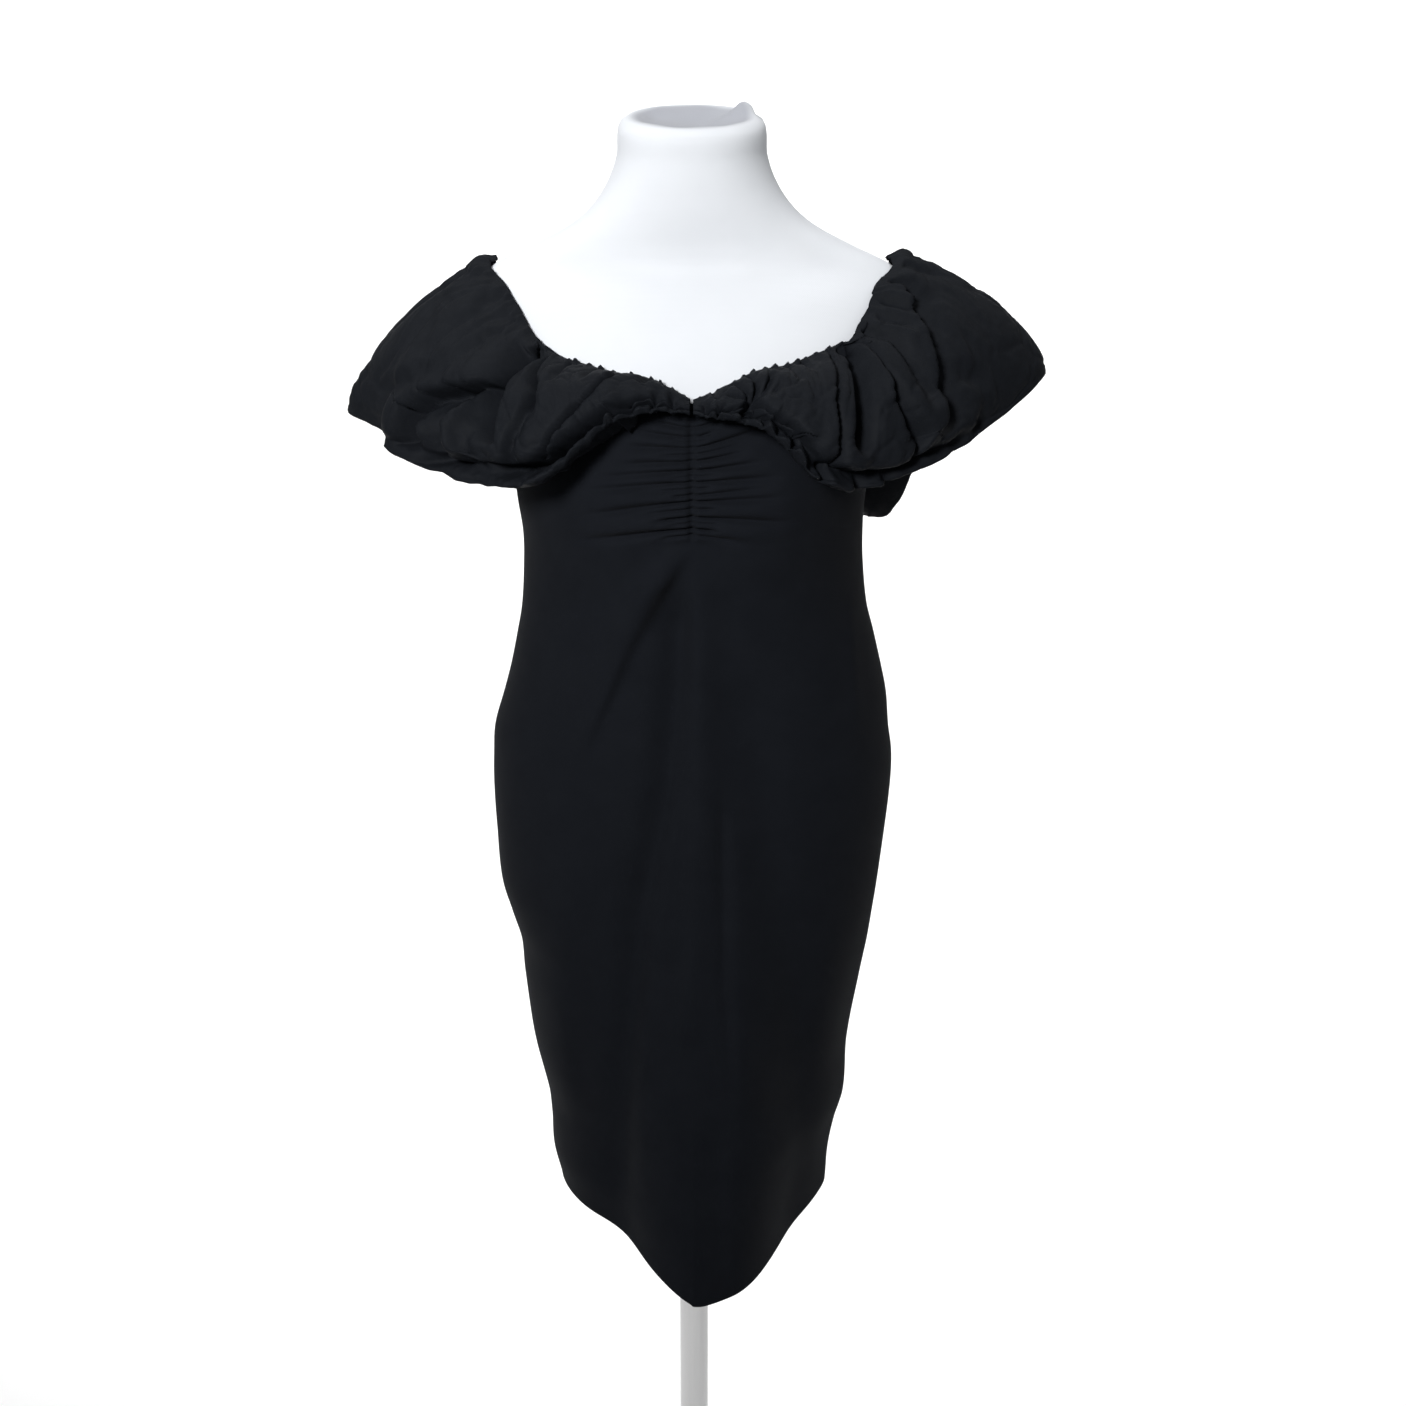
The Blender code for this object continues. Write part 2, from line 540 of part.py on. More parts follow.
def neckline_point(side, angle, height):
    """The ruffle's upper edge: on the bodice in front and behind, and over the form's shoulder between them."""
    ease = JERSEY_WALL / 2 + SEAM_GAP + RUFFLE_WALL / 2 + NECK_SEAM_EASE
    return dress_point(side * angle, height, ease)


def furrow(folds, station, step):
    """How deep the folds are at this place on the ruffle."""
    total = 0.0
    spot = Vector((station * STEPS_PER_STATION, step))
    for fold in folds:
        start = Vector((fold["from_station"] * STEPS_PER_STATION, fold["from_step"]))
        end = Vector((fold["to_station"] * STEPS_PER_STATION, fold["to_step"]))
        along = (end - start).normalized()
        run = (spot - start).dot(along)
        aside = along.x * (spot - start).y - along.y * (spot - start).x
        left_over = (end - start).length - run
        ends = smooth(0.5 * run / FOLD_END + 0.5) * smooth(0.5 * left_over / FOLD_END + 0.5)
        total += fold["depth"] * ends * bell(aside, fold["near"] if aside > 0 else fold["far"])
    return total


def edge_wave(side, station):
    """The rise and fall of the ruffle's lower edge, which dies out at its two ends and on the shoulder."""
    total = 0.0
    for row in EDGE_WAVES:
        wave = dict(zip(WAVE_COLUMNS, row))
        total += wave["rise"] * math.sin(2.0 * math.pi * (wave["per_station"] * station + wave["shift"] * side))
    ends = smooth(station / WAVE_END) * smooth((2.0 - station) / WAVE_END)
    return total * ends * (1.0 - bell(station - 1.0, WAVE_END))


def ruffle(name, side, stations, folds, finish, collection):
    """One half of the ruffle, from the centre front over the shoulder to the centre back."""
    station_at = reader(STATION_COLUMNS, stations)
    folds = [dict(zip(FOLD_LINE_COLUMNS, row)) for row in folds]
    columns = [(i, 2.0 * i / RUFFLE_COLUMNS) for i in range(RUFFLE_COLUMNS + 1)]
    rows = [row[0] for row in PUFF_SECTION]

    def place(column, step):
        number, station = column
        base = neckline_point(side, station_at("neck_angle", station), station_at("neck_z", station))
        edge = Vector([station_at(key, station) for key in ("edge_out", "edge_y", "edge_z")])
        edge.x *= side
        chord = edge - base
        middle = (base + edge) / 2
        across = chord.normalized()
        outward = Vector((middle.x, middle.y, 0.0)).normalized() + Vector((0.0, 0.0, OUTWARD_LIFT))
        outward = (outward - across * outward.dot(across)).normalized()
        band = min(max(station_at("band", station), 0.0), 1.0)
        along = lerp(puff_at("along", step), puff_at("band_along", step), band)
        out = lerp(puff_at("out", step), puff_at("band_out", step), band)
        tuck = furrow(folds, station, step)
        under = smooth((step - CROWN_STEP + UNDER_TUCK["before"]) / UNDER_TUCK["reach"])
        sink = tuck * smooth(step / FOLD_RISE) * lerp(1.0, UNDER_TUCK["share"], under)
        gather = GATHER_RISE * (1 + (-1) ** number) * bell(step, GATHER_REACH)
        draw_in = EDGE_TUCK * tuck * min(step / CROWN_STEP, 1.0) ** 2
        lobe = edge_wave(side, station) * bell(step - CROWN_STEP, WAVE_REACH)
        spot = base + across * (along * chord.length - draw_in)
        spot += outward * (out * station_at("puff", station) - sink + gather) + (across + outward) * lobe
        return seated(spot, BODY_CLEARANCE) if step else spot

    return cloth(name, columns, rows, place, RUFFLE_WALL, finish, collection)


def torso(finish, collection):
    """The dress form's body: rings at the heights of its table, bridged, and closed at the neck and below."""
    mesh = bpy.data.meshes.new("form_torso")
    body = bmesh.new()
    rings = []
    for row in FORM_SECTIONS:
        ring = bmesh.ops.create_circle(body, segments=FORM_SIDES, radius=1.0)["verts"]
        for number, corner in enumerate(ring):
            corner.co = form_point(360.0 * number / FORM_SIDES, row[0])
        rings.append({edge for corner in ring for edge in corner.link_edges})
    for lower, upper in zip(rings, rings[1:]):
        bmesh.ops.bridge_loops(body, edges=list(lower | upper))
    bmesh.ops.holes_fill(body, edges=list(rings[0] | rings[-1]), sides=0)
    bmesh.ops.recalc_face_normals(body, faces=body.faces)
    body.to_mesh(mesh)
    body.free()
    mesh.shade_smooth()
    return add_object("form_torso", mesh, finish, collection)


def pole(finish, collection):
    """The round pole between the base's hub and the underside of the torso."""
    bottom, top = HUB_TOP + SEAM_GAP, FORM_SECTIONS[0][0] - SEAM_GAP
    bpy.ops.mesh.primitive_cylinder_add(
        vertices=POLE_SIDES, radius=POLE_RADIUS, depth=top - bottom, location=(0.0, 0.0, (top + bottom) / 2)
    )
    made = bpy.context.object
    made.name = made.data.name = "form_pole"
    for other in made.users_collection:
        other.objects.unlink(made)
    collection.objects.link(made)
    made.data.shade_smooth()
    made.data.set_sharp_from_angle(angle=SHARP_EDGE)
    made.data.materials.append(finish)
    return made


def base(finish, collection):
    """The round base with the hub that holds the pole: a profile turned about the Z axis."""
    profile = (
        (0.0, HUB_TOP),
        (HUB_RADIUS - BASE_EDGE, HUB_TOP),
        (HUB_RADIUS, HUB_TOP - BASE_EDGE),
        (HUB_RADIUS, BASE_THICK + BASE_EDGE),
        (HUB_RADIUS + BASE_EDGE, BASE_THICK),
        (BASE_RADIUS - BASE_EDGE, BASE_THICK),
        (BASE_RADIUS, BASE_THICK - BASE_EDGE),
        (BASE_RADIUS, 0.0),
        (0.0, 0.0),
    )
    mesh = bpy.data.meshes.new("form_base")
    mesh.from_pydata([(x, 0.0, z) for x, z in profile], [(i, i + 1) for i in range(len(profile) - 1)], [])
    made = add_object("form_base", mesh, finish, collection)
    turn = made.modifiers.new("Turned", "SCREW")
    turn.steps = turn.render_steps = BASE_SIDES
    turn.use_merge_vertices = True
    turn.merge_threshold = 0.0001
    return made


def main():
    for old in list(bpy.data.objects):
        bpy.data.objects.remove(old)
    collection = bpy.data.collections.new("party_dress_on_dress_form")
    bpy.context.scene.collection.children.link(collection)
    jersey = material("jersey", JERSEY_BLACK, 0.75)
    woven = material("woven", WOVEN_BLACK, 0.70)
    cover = material("form_cover", COVER_WHITE, 0.85)
    stand = material("stand", STAND_WHITE, 0.40)
    dress_front(jersey, collection)
    dress_back(jersey, collection)
    ruffle("ruffle_left", -1, LEFT_STATIONS, LEFT_FOLDS, woven, collection)
    ruffle("ruffle_right", 1, RIGHT_STATIONS, RIGHT_FOLDS, woven, collection)
    torso(cover, collection)
    pole(stand, collection)
    base(stand, collection)


main()
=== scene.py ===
"""The looks of a black off-the-shoulder party dress on a white dress form.

Metres, +Z up, front towards -Y. Left and right are those of someone who looks at the front.
"""

import math
import random

import bmesh
import bpy
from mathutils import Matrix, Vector, noise


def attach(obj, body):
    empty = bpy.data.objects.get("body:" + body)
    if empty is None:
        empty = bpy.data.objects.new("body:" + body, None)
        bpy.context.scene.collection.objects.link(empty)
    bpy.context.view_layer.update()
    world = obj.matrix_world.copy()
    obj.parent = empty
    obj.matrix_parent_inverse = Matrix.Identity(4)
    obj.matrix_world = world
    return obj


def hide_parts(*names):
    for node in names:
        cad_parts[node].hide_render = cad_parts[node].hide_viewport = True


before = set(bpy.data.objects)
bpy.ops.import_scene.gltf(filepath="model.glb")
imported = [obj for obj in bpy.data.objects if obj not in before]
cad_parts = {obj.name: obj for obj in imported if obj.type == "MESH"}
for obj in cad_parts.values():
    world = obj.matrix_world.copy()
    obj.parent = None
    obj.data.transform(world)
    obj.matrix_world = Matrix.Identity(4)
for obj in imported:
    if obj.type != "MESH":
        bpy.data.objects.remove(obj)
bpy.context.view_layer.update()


# The dress front
# One piece of black stretch jersey from side seam to side seam. Its middle is gathered on to a short seam
# below the V of the neckline, which pulls a fan of small folds across the bust. It falls in long soft
# folds below the hips.

JERSEY_WALL = 0.0012
FRONT_FLAT = (0.52, 0.90)
# Level sections of the dress: its half widths, its depths in front and behind, and the curve of its front
# half, which is rounded at 2.2 and more pointed below that.
DRESS_COLUMNS = ("height", "left", "right", "front", "back", "point")
DRESS_SECTIONS = (
    (0.430, 0.1260, 0.1240, 0.1690, 0.1130, 1.42),
    (0.480, 0.1290, 0.1270, 0.1650, 0.1140, 1.46),
    (0.515, 0.1362, 0.1290, 0.1620, 0.1150, 1.52),
    (0.550, 0.1374, 0.1352, 0.1590, 0.1160, 1.58),
    (0.580, 0.1395, 0.1430, 0.1560, 0.1170, 1.64),
    (0.640, 0.1517, 0.1460, 0.1500, 0.1190, 1.78),
    (0.705, 0.1586, 0.1558, 0.1440, 0.1215, 1.94),
    (0.740, 0.1608, 0.1620, 0.1410, 0.1235, 2.03),
    (0.770, 0.1690, 0.1660, 0.1385, 0.1250, 2.10),
    (0.800, 0.1766, 0.1697, 0.1360, 0.1270, 2.15),
    (0.850, 0.1797, 0.1755, 0.1325, 0.1292, 2.20),
    (0.890, 0.1806, 0.1788, 0.1300, 0.1302, 2.20),
    (0.920, 0.1797, 0.1788, 0.1285, 0.1285, 2.20),
    (0.945, 0.1778, 0.1750, 0.1275, 0.1265, 2.20),
    (0.975, 0.1690, 0.1720, 0.1262, 0.1200, 2.20),
    (1.000, 0.1618, 0.1670, 0.1255, 0.1120, 2.20),
    (1.030, 0.1552, 0.1600, 0.1250, 0.1030, 2.20),
    (1.057, 0.1502, 0.1530, 0.1250, 0.0980, 2.20),
    (1.097, 0.1474, 0.1486, 0.1270, 0.0950, 2.20),
    (1.123, 0.1474, 0.1478, 0.1292, 0.0952, 2.20),
    (1.150, 0.1510, 0.1488, 0.1306, 0.0965, 2.20),
    (1.180, 0.1545, 0.1530, 0.1296, 0.0990, 2.20),
    (1.210, 0.1600, 0.1595, 0.1230, 0.1012, 2.20),
    (1.240, 0.1695, 0.1695, 0.1125, 0.1014, 2.20),
    (1.270, 0.1838, 0.1838, 0.0973, 0.1008, 2.20),
    (1.300, 0.1918, 0.1918, 0.0790, 0.0945, 2.20),
    (1.325, 0.1868, 0.1868, 0.0624, 0.0822, 2.20),
    (1.3455, 0.1690, 0.1690, 0.0470, 0.0700, 2.20),
    (1.362, 0.1350, 0.1350, 0.0456, 0.0626, 2.20),
)
SECTION_POWER = 2.2
BUST = {"out": 0.072, "height": 1.152, "rise": 0.013, "width": 0.050, "tall": 0.052}
# The height of the top edge and of the hem, by the angle from the centre front in degrees.
EDGE_COLUMNS = ("angle", "height")
FRONT_TOP = (
    (0.0, 1.2490),
    (6.6, 1.2600),
    (15.0, 1.2695),
    (24.0, 1.2755),
    (32.0, 1.2825),
    (39.0, 1.2930),
    (45.0, 1.2870),
    (55.0, 1.2560),
    (68.0, 1.2180),
    (80.0, 1.1990),
    (90.0, 1.1950),
)
HEM_COLUMNS = ("angle", "left", "right")
HEM = (
    (0.0, 0.4430, 0.4430),
    (10.0, 0.4490, 0.4430),
    (25.0, 0.4620, 0.4490),
    (42.0, 0.4740, 0.4590),
    (65.0, 0.4790, 0.4710),
    (90.0, 0.4810, 0.4810),
    (135.0, 0.4860, 0.4860),
    (180.0, 0.4860, 0.4860),
)
TOP_EDGE_REACH = 0.150
HEM_EDGE_REACH = 0.160
# The broad folds of the skirt: each starts at a height, and turns from one angle to another on its way to
# the hem.
FOLD_COLUMNS = ("top", "top_angle", "hem_angle", "rise", "width")
SKIRT_FOLDS = (
    (1.060, 2.0, 27.0, 0.0120, 15.0),
    (0.980, -8.0, -41.0, -0.0155, 17.0),
    (1.055, 16.0, 55.0, -0.0050, 12.0),
    (1.020, 72.0, 80.0, 0.0020, 7.0),
    (0.860, 110.0, 118.0, -0.0060, 14.0),
    (0.900, 150.0, 146.0, -0.0080, 13.0),
    (0.940, 180.0, 180.0, 0.0050, 12.0),
    (0.900, 208.0, 214.0, -0.0080, 14.0),
    (0.840, 248.0, 240.0, -0.0060, 13.0),
)
# One fold is dragged slantwise from the foot of the gathers towards the left hip.
DRAG_FOLD = {"from": (-0.004, 1.142), "to": (-0.140, 0.962), "rise": 0.0045, "width": 0.016}
# The furrows of the gathers: where each meets the seam below the V, how far it runs to each side, how far
# it has dropped 80 mm out, and its depth.
RUCHE_COLUMNS = ("drop", "left_reach", "right_reach", "left_fall", "right_fall", "depth")
RUCHE = (
    (0.0080, 0.026, 0.022, -0.022, -0.040, 0.00378),
    (0.0130, 0.020, 0.016, -0.020, -0.036, 0.00297),
    (0.0180, 0.040, 0.030, -0.016, -0.030, 0.00405),
    (0.0250, 0.050, 0.020, -0.008, -0.026, 0.00405),
    (0.0290, 0.018, 0.016, -0.004, -0.024, 0.00270),
    (0.0330, 0.062, 0.084, 0.000, -0.021, 0.00513),
    (0.0380, 0.030, 0.060, 0.004, -0.018, 0.00351),
    (0.0430, 0.070, 0.050, 0.006, -0.014, 0.00540),
    (0.0500, 0.086, 0.066, 0.008, -0.008, 0.00567),
    (0.0545, 0.020, 0.026, 0.009, -0.006, 0.00297),
    (0.0590, 0.094, 0.080, 0.008, -0.003, 0.00594),
    (0.0640, 0.052, 0.020, 0.009, -0.006, 0.00378),
    (0.0690, 0.018, 0.074, 0.010, -0.007, 0.00459),
    (0.0740, 0.098, 0.084, 0.012, -0.002, 0.00621),
    (0.0800, 0.058, 0.022, 0.012, 0.000, 0.00405),
    (0.0865, 0.034, 0.094, 0.013, 0.006, 0.00621),
    (0.0910, 0.024, 0.030, 0.014, 0.008, 0.00297),
    (0.0960, 0.104, 0.024, 0.011, 0.012, 0.00729),
    (0.1010, 0.030, 0.050, 0.012, 0.014, 0.00459),
)
RUCHE_FALL = {"out": 0.08, "curve": 1.25}
RUCHE_WIDTH = {"seam": 0.0014, "far": 0.0036, "out": 0.055}
RUCHE_SWELL = {"rise": 0.0040, "width": 0.060}
RUCHE_FOOT = 0.1060
# The groove of the centre seam, and how fast its stitches follow each other, in radians a metre.
SEAM_GROOVE = {"depth": 0.0018, "width": 0.0015, "stitches": 1300.0}
# The soft lines in which the front hangs: each has a path of places down it, stands out by its rise, or in
# where that is negative, and has a width to the left and one to the right. They fade out towards their
# ends, and towards the side seam by so many degrees.
HANG_COLUMNS = ("path", "rise", "left", "right")
HANGING_FOLDS = (
    (((-0.002, 1.140), (-0.031, 1.094), (-0.056, 1.048), (-0.080, 0.991), (-0.104, 0.930)),
     0.0076, 0.020, 0.0075),
    (((0.003, 1.136), (0.006, 1.030), (0.006, 0.930), (0.002, 0.800), (-0.010, 0.660)), 0.0048, 0.009, 0.016),
    (((-0.008, 1.110), (-0.012, 1.020), (-0.020, 0.930), (-0.029, 0.880), (-0.044, 0.800), (-0.056, 0.680),
      (-0.064, 0.480)), -0.0092, 0.017, 0.009),
    (((0.025, 0.930), (0.026, 0.860), (0.028, 0.760), (0.035, 0.640)), -0.0024, 0.006, 0.004),
    (((0.036, 0.900), (0.038, 0.840), (0.038, 0.760), (0.046, 0.600)), 0.0024, 0.008, 0.012),
    (((0.040, 1.030), (0.060, 0.900), (0.077, 0.760), (0.084, 0.560)), -0.0066, 0.026, 0.022),
    (((-0.120, 1.046), (-0.135, 1.030), (-0.152, 1.012)), 0.0024, 0.007, 0.005),
    (((-0.098, 1.010), (-0.122, 0.985), (-0.160, 0.955)), 0.0030, 0.010, 0.008),
    (((-0.100, 0.860), (-0.118, 0.740), (-0.120, 0.560)), 0.0040, 0.022, 0.016),
    (((0.135, 1.090), (0.138, 1.010), (0.146, 0.940)), 0.0028, 0.007, 0.006),
    (((0.125, 0.800), (0.118, 0.660), (0.112, 0.520)), 0.0046, 0.018, 0.022),
    (((0.020, 0.640), (0.022, 0.540), (0.028, 0.420)), -0.0034, 0.014, 0.010),
)
HANG_ENDS = {"top": 0.045, "foot": 0.070, "side": 14.0}
SLACK = {"broad": 0.0010, "fine": 0.0004, "top": 1.04, "fade": 0.10}
SIDE_SEAM = {"nip": 0.0007, "width": 1.1}
NECK_TUCK = 0.0025


def lerp(start, end, share):
    return start + (end - start) * share


def smooth(share):
    share = min(max(share, 0.0), 1.0)
    return share * share * (3.0 - 2.0 * share)


def bell(offset, width):
    return math.exp(-((offset / width) ** 2))


def signed_power(value, power):
    return math.copysign(abs(value) ** power, value)


def reader(columns, table):
    """A function that reads any named column of a table, on a smooth curve through its rows."""
    places = [row[0] for row in table]
    last = len(table) - 1

    def read(key, at):
        index = columns.index(key)
        at = min(max(at, places[0]), places[-1])
        row = max(i for i in range(last) if places[i] <= at)
        span = places[row + 1] - places[row]
        t = (at - places[row]) / span
        start, end = table[row][index], table[row + 1][index]
        slopes = []
        for i in (row, row + 1):
            before, after = max(i - 1, 0), min(i + 1, last)
            slopes.append((table[after][index] - table[before][index]) / (places[after] - places[before]))
        curve = (2 * t**3 - 3 * t**2 + 1) * start + (3 * t**2 - 2 * t**3) * end
        return curve + span * ((t**3 - 2 * t**2 + t) * slopes[0] + (t**3 - t**2) * slopes[1])

    return read


dress_at = reader(DRESS_COLUMNS, DRESS_SECTIONS)
front_top_at = reader(EDGE_COLUMNS, FRONT_TOP)
hem_at = reader(HEM_COLUMNS, HEM)


def bust_rise(x, height):
    """How far the bust stands out at this place."""
    across = bell(x - BUST["out"], BUST["width"]) + bell(x + BUST["out"], BUST["width"])
    return BUST["rise"] * across * bell(height - BUST["height"], BUST["tall"])


def section_point(angle, sides, front, back, power):
    """A point on an egg-shaped section; the angle runs from the centre front towards +X."""
    turn = math.radians(angle)
    across, ahead = math.sin(turn), math.cos(turn)
    half = sides[1] if across >= 0 else sides[0]
    depth, curve = (front, power) if ahead >= 0 else (back, SECTION_POWER)
    return half * signed_power(across, 2.0 / curve), -depth * signed_power(ahead, 2.0 / curve)


def skirt_fold(angle, height, hem):
    """How far the skirt's broad folds stand out at this place."""
    total = 0.0
    for row in SKIRT_FOLDS:
        fold = dict(zip(FOLD_COLUMNS, row))
        share = smooth((fold["top"] - height) / (fold["top"] - hem))
        away = (angle - lerp(fold["top_angle"], fold["hem_angle"], share) + 180.0) % 360.0 - 180.0
        total += fold["rise"] * share * bell(away, fold["width"])
    return total


def drag_fold(x, height):
    """How far the dragged fold stands out at this place; it widens and dies out on its way."""
    start, end = Vector(DRAG_FOLD["from"]), Vector(DRAG_FOLD["to"])
    along = (end - start).normalized()
    place = Vector((x, height)) - start
    share = place.dot(along) / (end - start).length
    aside = place.dot(Vector((-along.y, along.x)))
    width = DRAG_FOLD["width"] * lerp(0.4, 1.3, min(max(share, 0.0), 1.0))
    return DRAG_FOLD["rise"] * smooth(share * 5.0) * smooth((1.15 - share) * 1.6) * bell(aside, width)


def dress_point(angle, height, outwards=0.0):
    """A point on the middle of the dress's wall, moved outwards by a distance."""
    inset = outwards - JERSEY_WALL / 2
    sides = (dress_at("left", height) + inset, dress_at("right", height) + inset)
    front, back = dress_at("front", height) + inset, dress_at("back", height) + inset
    x, y = section_point(angle, sides, front, back, dress_at("point", height))
    ahead = max(math.cos(math.radians(angle)), 0.0)
    y -= (bust_rise(x, height) + drag_fold(x, height)) * ahead**0.5
    return Vector((x, y, height))


def folded_dress_point(angle, height, hem):
    """The same point with the skirt's folds, and with a little slack in the cloth below the waist."""
    place = dress_point(angle, height)
    out = Vector((place.x, place.y, 0.0)).normalized()
    slack = noise.noise(place * 9.0) * SLACK["broad"]
    slack += noise.noise(place * 23.0 + Vector((5.0, 2.0, 1.0))) * SLACK["fine"]
    slack *= smooth((SLACK["top"] - height) / SLACK["fade"])
    return place + out * (skirt_fold(angle, height, hem) + slack)


def panel_height(drop, top, hem, top_middle, hem_middle, length):
    """The height of a grid row: level at the middle, bent towards the panel's own edges at its ends."""
    level = top_middle - drop
    level += (top - top_middle) * (1.0 - smooth(drop / TOP_EDGE_REACH))
    return level + (hem - hem_middle) * (1.0 - smooth((length - drop) / HEM_EDGE_REACH))


def spread(stops, counts):
    """Evenly spaced values from stop to stop, so many to each stretch."""
    values = []
    for start, end, count in zip(stops, stops[1:], counts):
        values += [lerp(start, end, i / count) for i in range(count)]
    return values + [stops[-1]]


def sheet_of_cloth(name, columns, rows, place, flat, wall):
    """A sheet laid out from a grid by place(column, row), with a map in metres of its flat cut and a wall."""
    work = bmesh.new()
    across, down = len(columns) - 1, len(rows) - 1
    bmesh.ops.create_grid(work, x_segments=across, y_segments=down, size=0.5)
    chart = work.loops.layers.uv.new("cut")
    for face in work.faces:
        for loop in face.loops:
            loop[chart].uv = (loop.vert.co.x * flat[0], loop.vert.co.y * flat[1])
    for corner in work.verts:
        number = round((corner.co.x + 0.5) * across), round((0.5 - corner.co.y) * down)
        corner.co = place(columns[number[0]], rows[number[1]])
    mesh = bpy.data.meshes.new(name)
    work.to_mesh(mesh)
    work.free()
    mesh.shade_smooth()
    piece = bpy.data.objects.new(name, mesh)
    bpy.context.scene.collection.objects.link(piece)
    thickness = piece.modifiers.new("Wall", "SOLIDIFY")
    thickness.thickness = wall
    thickness.offset = 0.0
    return piece


def ruche_furrows(x, drop):
    """How deep the gathers' furrows are at this place: crisp at the seam, and wider away from it."""
    side = "left" if x < 0 else "right"
    out = abs(x)
    total = 0.0
    for row in RUCHE:
        fold = dict(zip(RUCHE_COLUMNS, row))
        reach = fold[side + "_reach"]
        if out < reach:
            share = out / reach
            line = fold["drop"] + fold[side + "_fall"] * (out / RUCHE_FALL["out"]) ** RUCHE_FALL["curve"]
            width = lerp(RUCHE_WIDTH["seam"], RUCHE_WIDTH["far"], smooth(out / RUCHE_WIDTH["out"]))
            strength = smooth((1.0 - share) * 2.0) * lerp(0.55, 1.0, smooth(out / 0.007))
            total += fold["depth"] * strength * bell(drop - line, width)
    return total


def ruche_swell(x, drop):
    """The gathered cloth stands a little proud between its furrows."""
    inside = smooth(drop / 0.008) * smooth((RUCHE_FOOT + 0.004 - drop) / 0.010)
    return RUCHE_SWELL["rise"] * bell(x, RUCHE_SWELL["width"]) * inside * smooth(abs(x) / 0.006)


def hanging(x, height):
    """How far the front stands out in its long soft folds at this place."""
    total = 0.0
    for row in HANGING_FOLDS:
        fold = dict(zip(HANG_COLUMNS, row))
        path = fold["path"]
        if not path[-1][1] < height < path[0][1]:
            continue
        for (x0, top), (x1, foot) in zip(path, path[1:]):
            if foot <= height <= top:
                line = lerp(x1, x0, (height - foot) / (top - foot))
        ends = smooth((path[0][1] - height) / HANG_ENDS["top"])
        ends *= smooth((height - path[-1][1]) / HANG_ENDS["foot"])
        total += fold["rise"] * ends * bell(x - line, fold["left"] if x < line else fold["right"])
    return total


TOP_MIDDLE, HEM_MIDDLE = front_top_at("height", 0.0) - NECK_TUCK, hem_at("left", 0.0)
FRONT_LENGTH = TOP_MIDDLE - HEM_MIDDLE


def front_place(angle, drop):
    """Where the front's cloth lies, by the angle from its middle and the drop below its top edge."""
    side = "left" if angle < 0 else "right"
    top, hem = front_top_at("height", abs(angle)) - NECK_TUCK, hem_at(side, abs(angle))
    height = panel_height(drop, top, hem, TOP_MIDDLE, HEM_MIDDLE, FRONT_LENGTH)
    spot = folded_dress_point(angle, height, hem)
    here = TOP_MIDDLE - height
    if here < RUCHE_FOOT + 0.03:
        groove = SEAM_GROOVE["depth"] * bell(spot.x, SEAM_GROOVE["width"])
        stitches = math.sin(here * SEAM_GROOVE["stitches"]) ** 2
        groove *= smooth((RUCHE_FOOT - here) / 0.006) * lerp(0.75, 1.0, stitches)
        spot.y += ruche_furrows(spot.x, here) + groove - ruche_swell(spot.x, here)
    spot.y -= hanging(spot.x, height) * smooth((90.0 - abs(angle)) / HANG_ENDS["side"])
    spot.x -= math.copysign(SIDE_SEAM["nip"] * bell(90.0 - abs(angle), SIDE_SEAM["width"]), spot.x)
    spot.y = min(spot.y, -0.0001)
    return spot


front_angles = spread((0.0, 8.0, 34.0, 88.0, 90.0), (14, 22, 34, 3))
front_angles = [-a for a in reversed(front_angles[1:])] + front_angles
front_drops = spread((0.0, 0.108, 0.150, FRONT_LENGTH - 0.03, FRONT_LENGTH), (116, 20, 118, 10))
dress_front = sheet_of_cloth("jersey_front", front_angles, front_drops, front_place, FRONT_FLAT, JERSEY_WALL)


def nodes_of(material):
    """The material's nodes, links and shader, for building its look."""
    material.use_nodes = True
    tree = material.node_tree
    return tree.nodes, tree.links, tree.nodes["Principled BSDF"]


def mottle(nodes, links, scale, detail=2.0, distortion=0.0):
    """A cloudy pattern that is fixed to the piece."""
    place = nodes.new("ShaderNodeTexCoord")
    clouds = nodes.new("ShaderNodeTexNoise")
    clouds.inputs["Scale"].default_value = scale
    clouds.inputs["Detail"].default_value = detail
    clouds.inputs["Distortion"].default_value = distortion
    links.new(place.outputs["Object"], clouds.inputs["Vector"])
    return clouds.outputs["Fac"]


def relief(nodes, links, height, strength, distance):
    """A bump that follows this height."""
    bump = nodes.new("ShaderNodeBump")
    bump.inputs["Strength"].default_value = strength
    bump.inputs["Distance"].default_value = distance
    links.new(height, bump.inputs["Height"])
    return bump


def two_shades(nodes, links, share, colour, lighter):
    """A colour between two shades of the cloth."""
    shades = nodes.new("ShaderNodeMix")
    shades.data_type = "RGBA"
    shades.inputs["A"].default_value = colour
    shades.inputs["B"].default_value = lighter
    links.new(share, shades.inputs["Factor"])
    return shades.outputs["Result"]


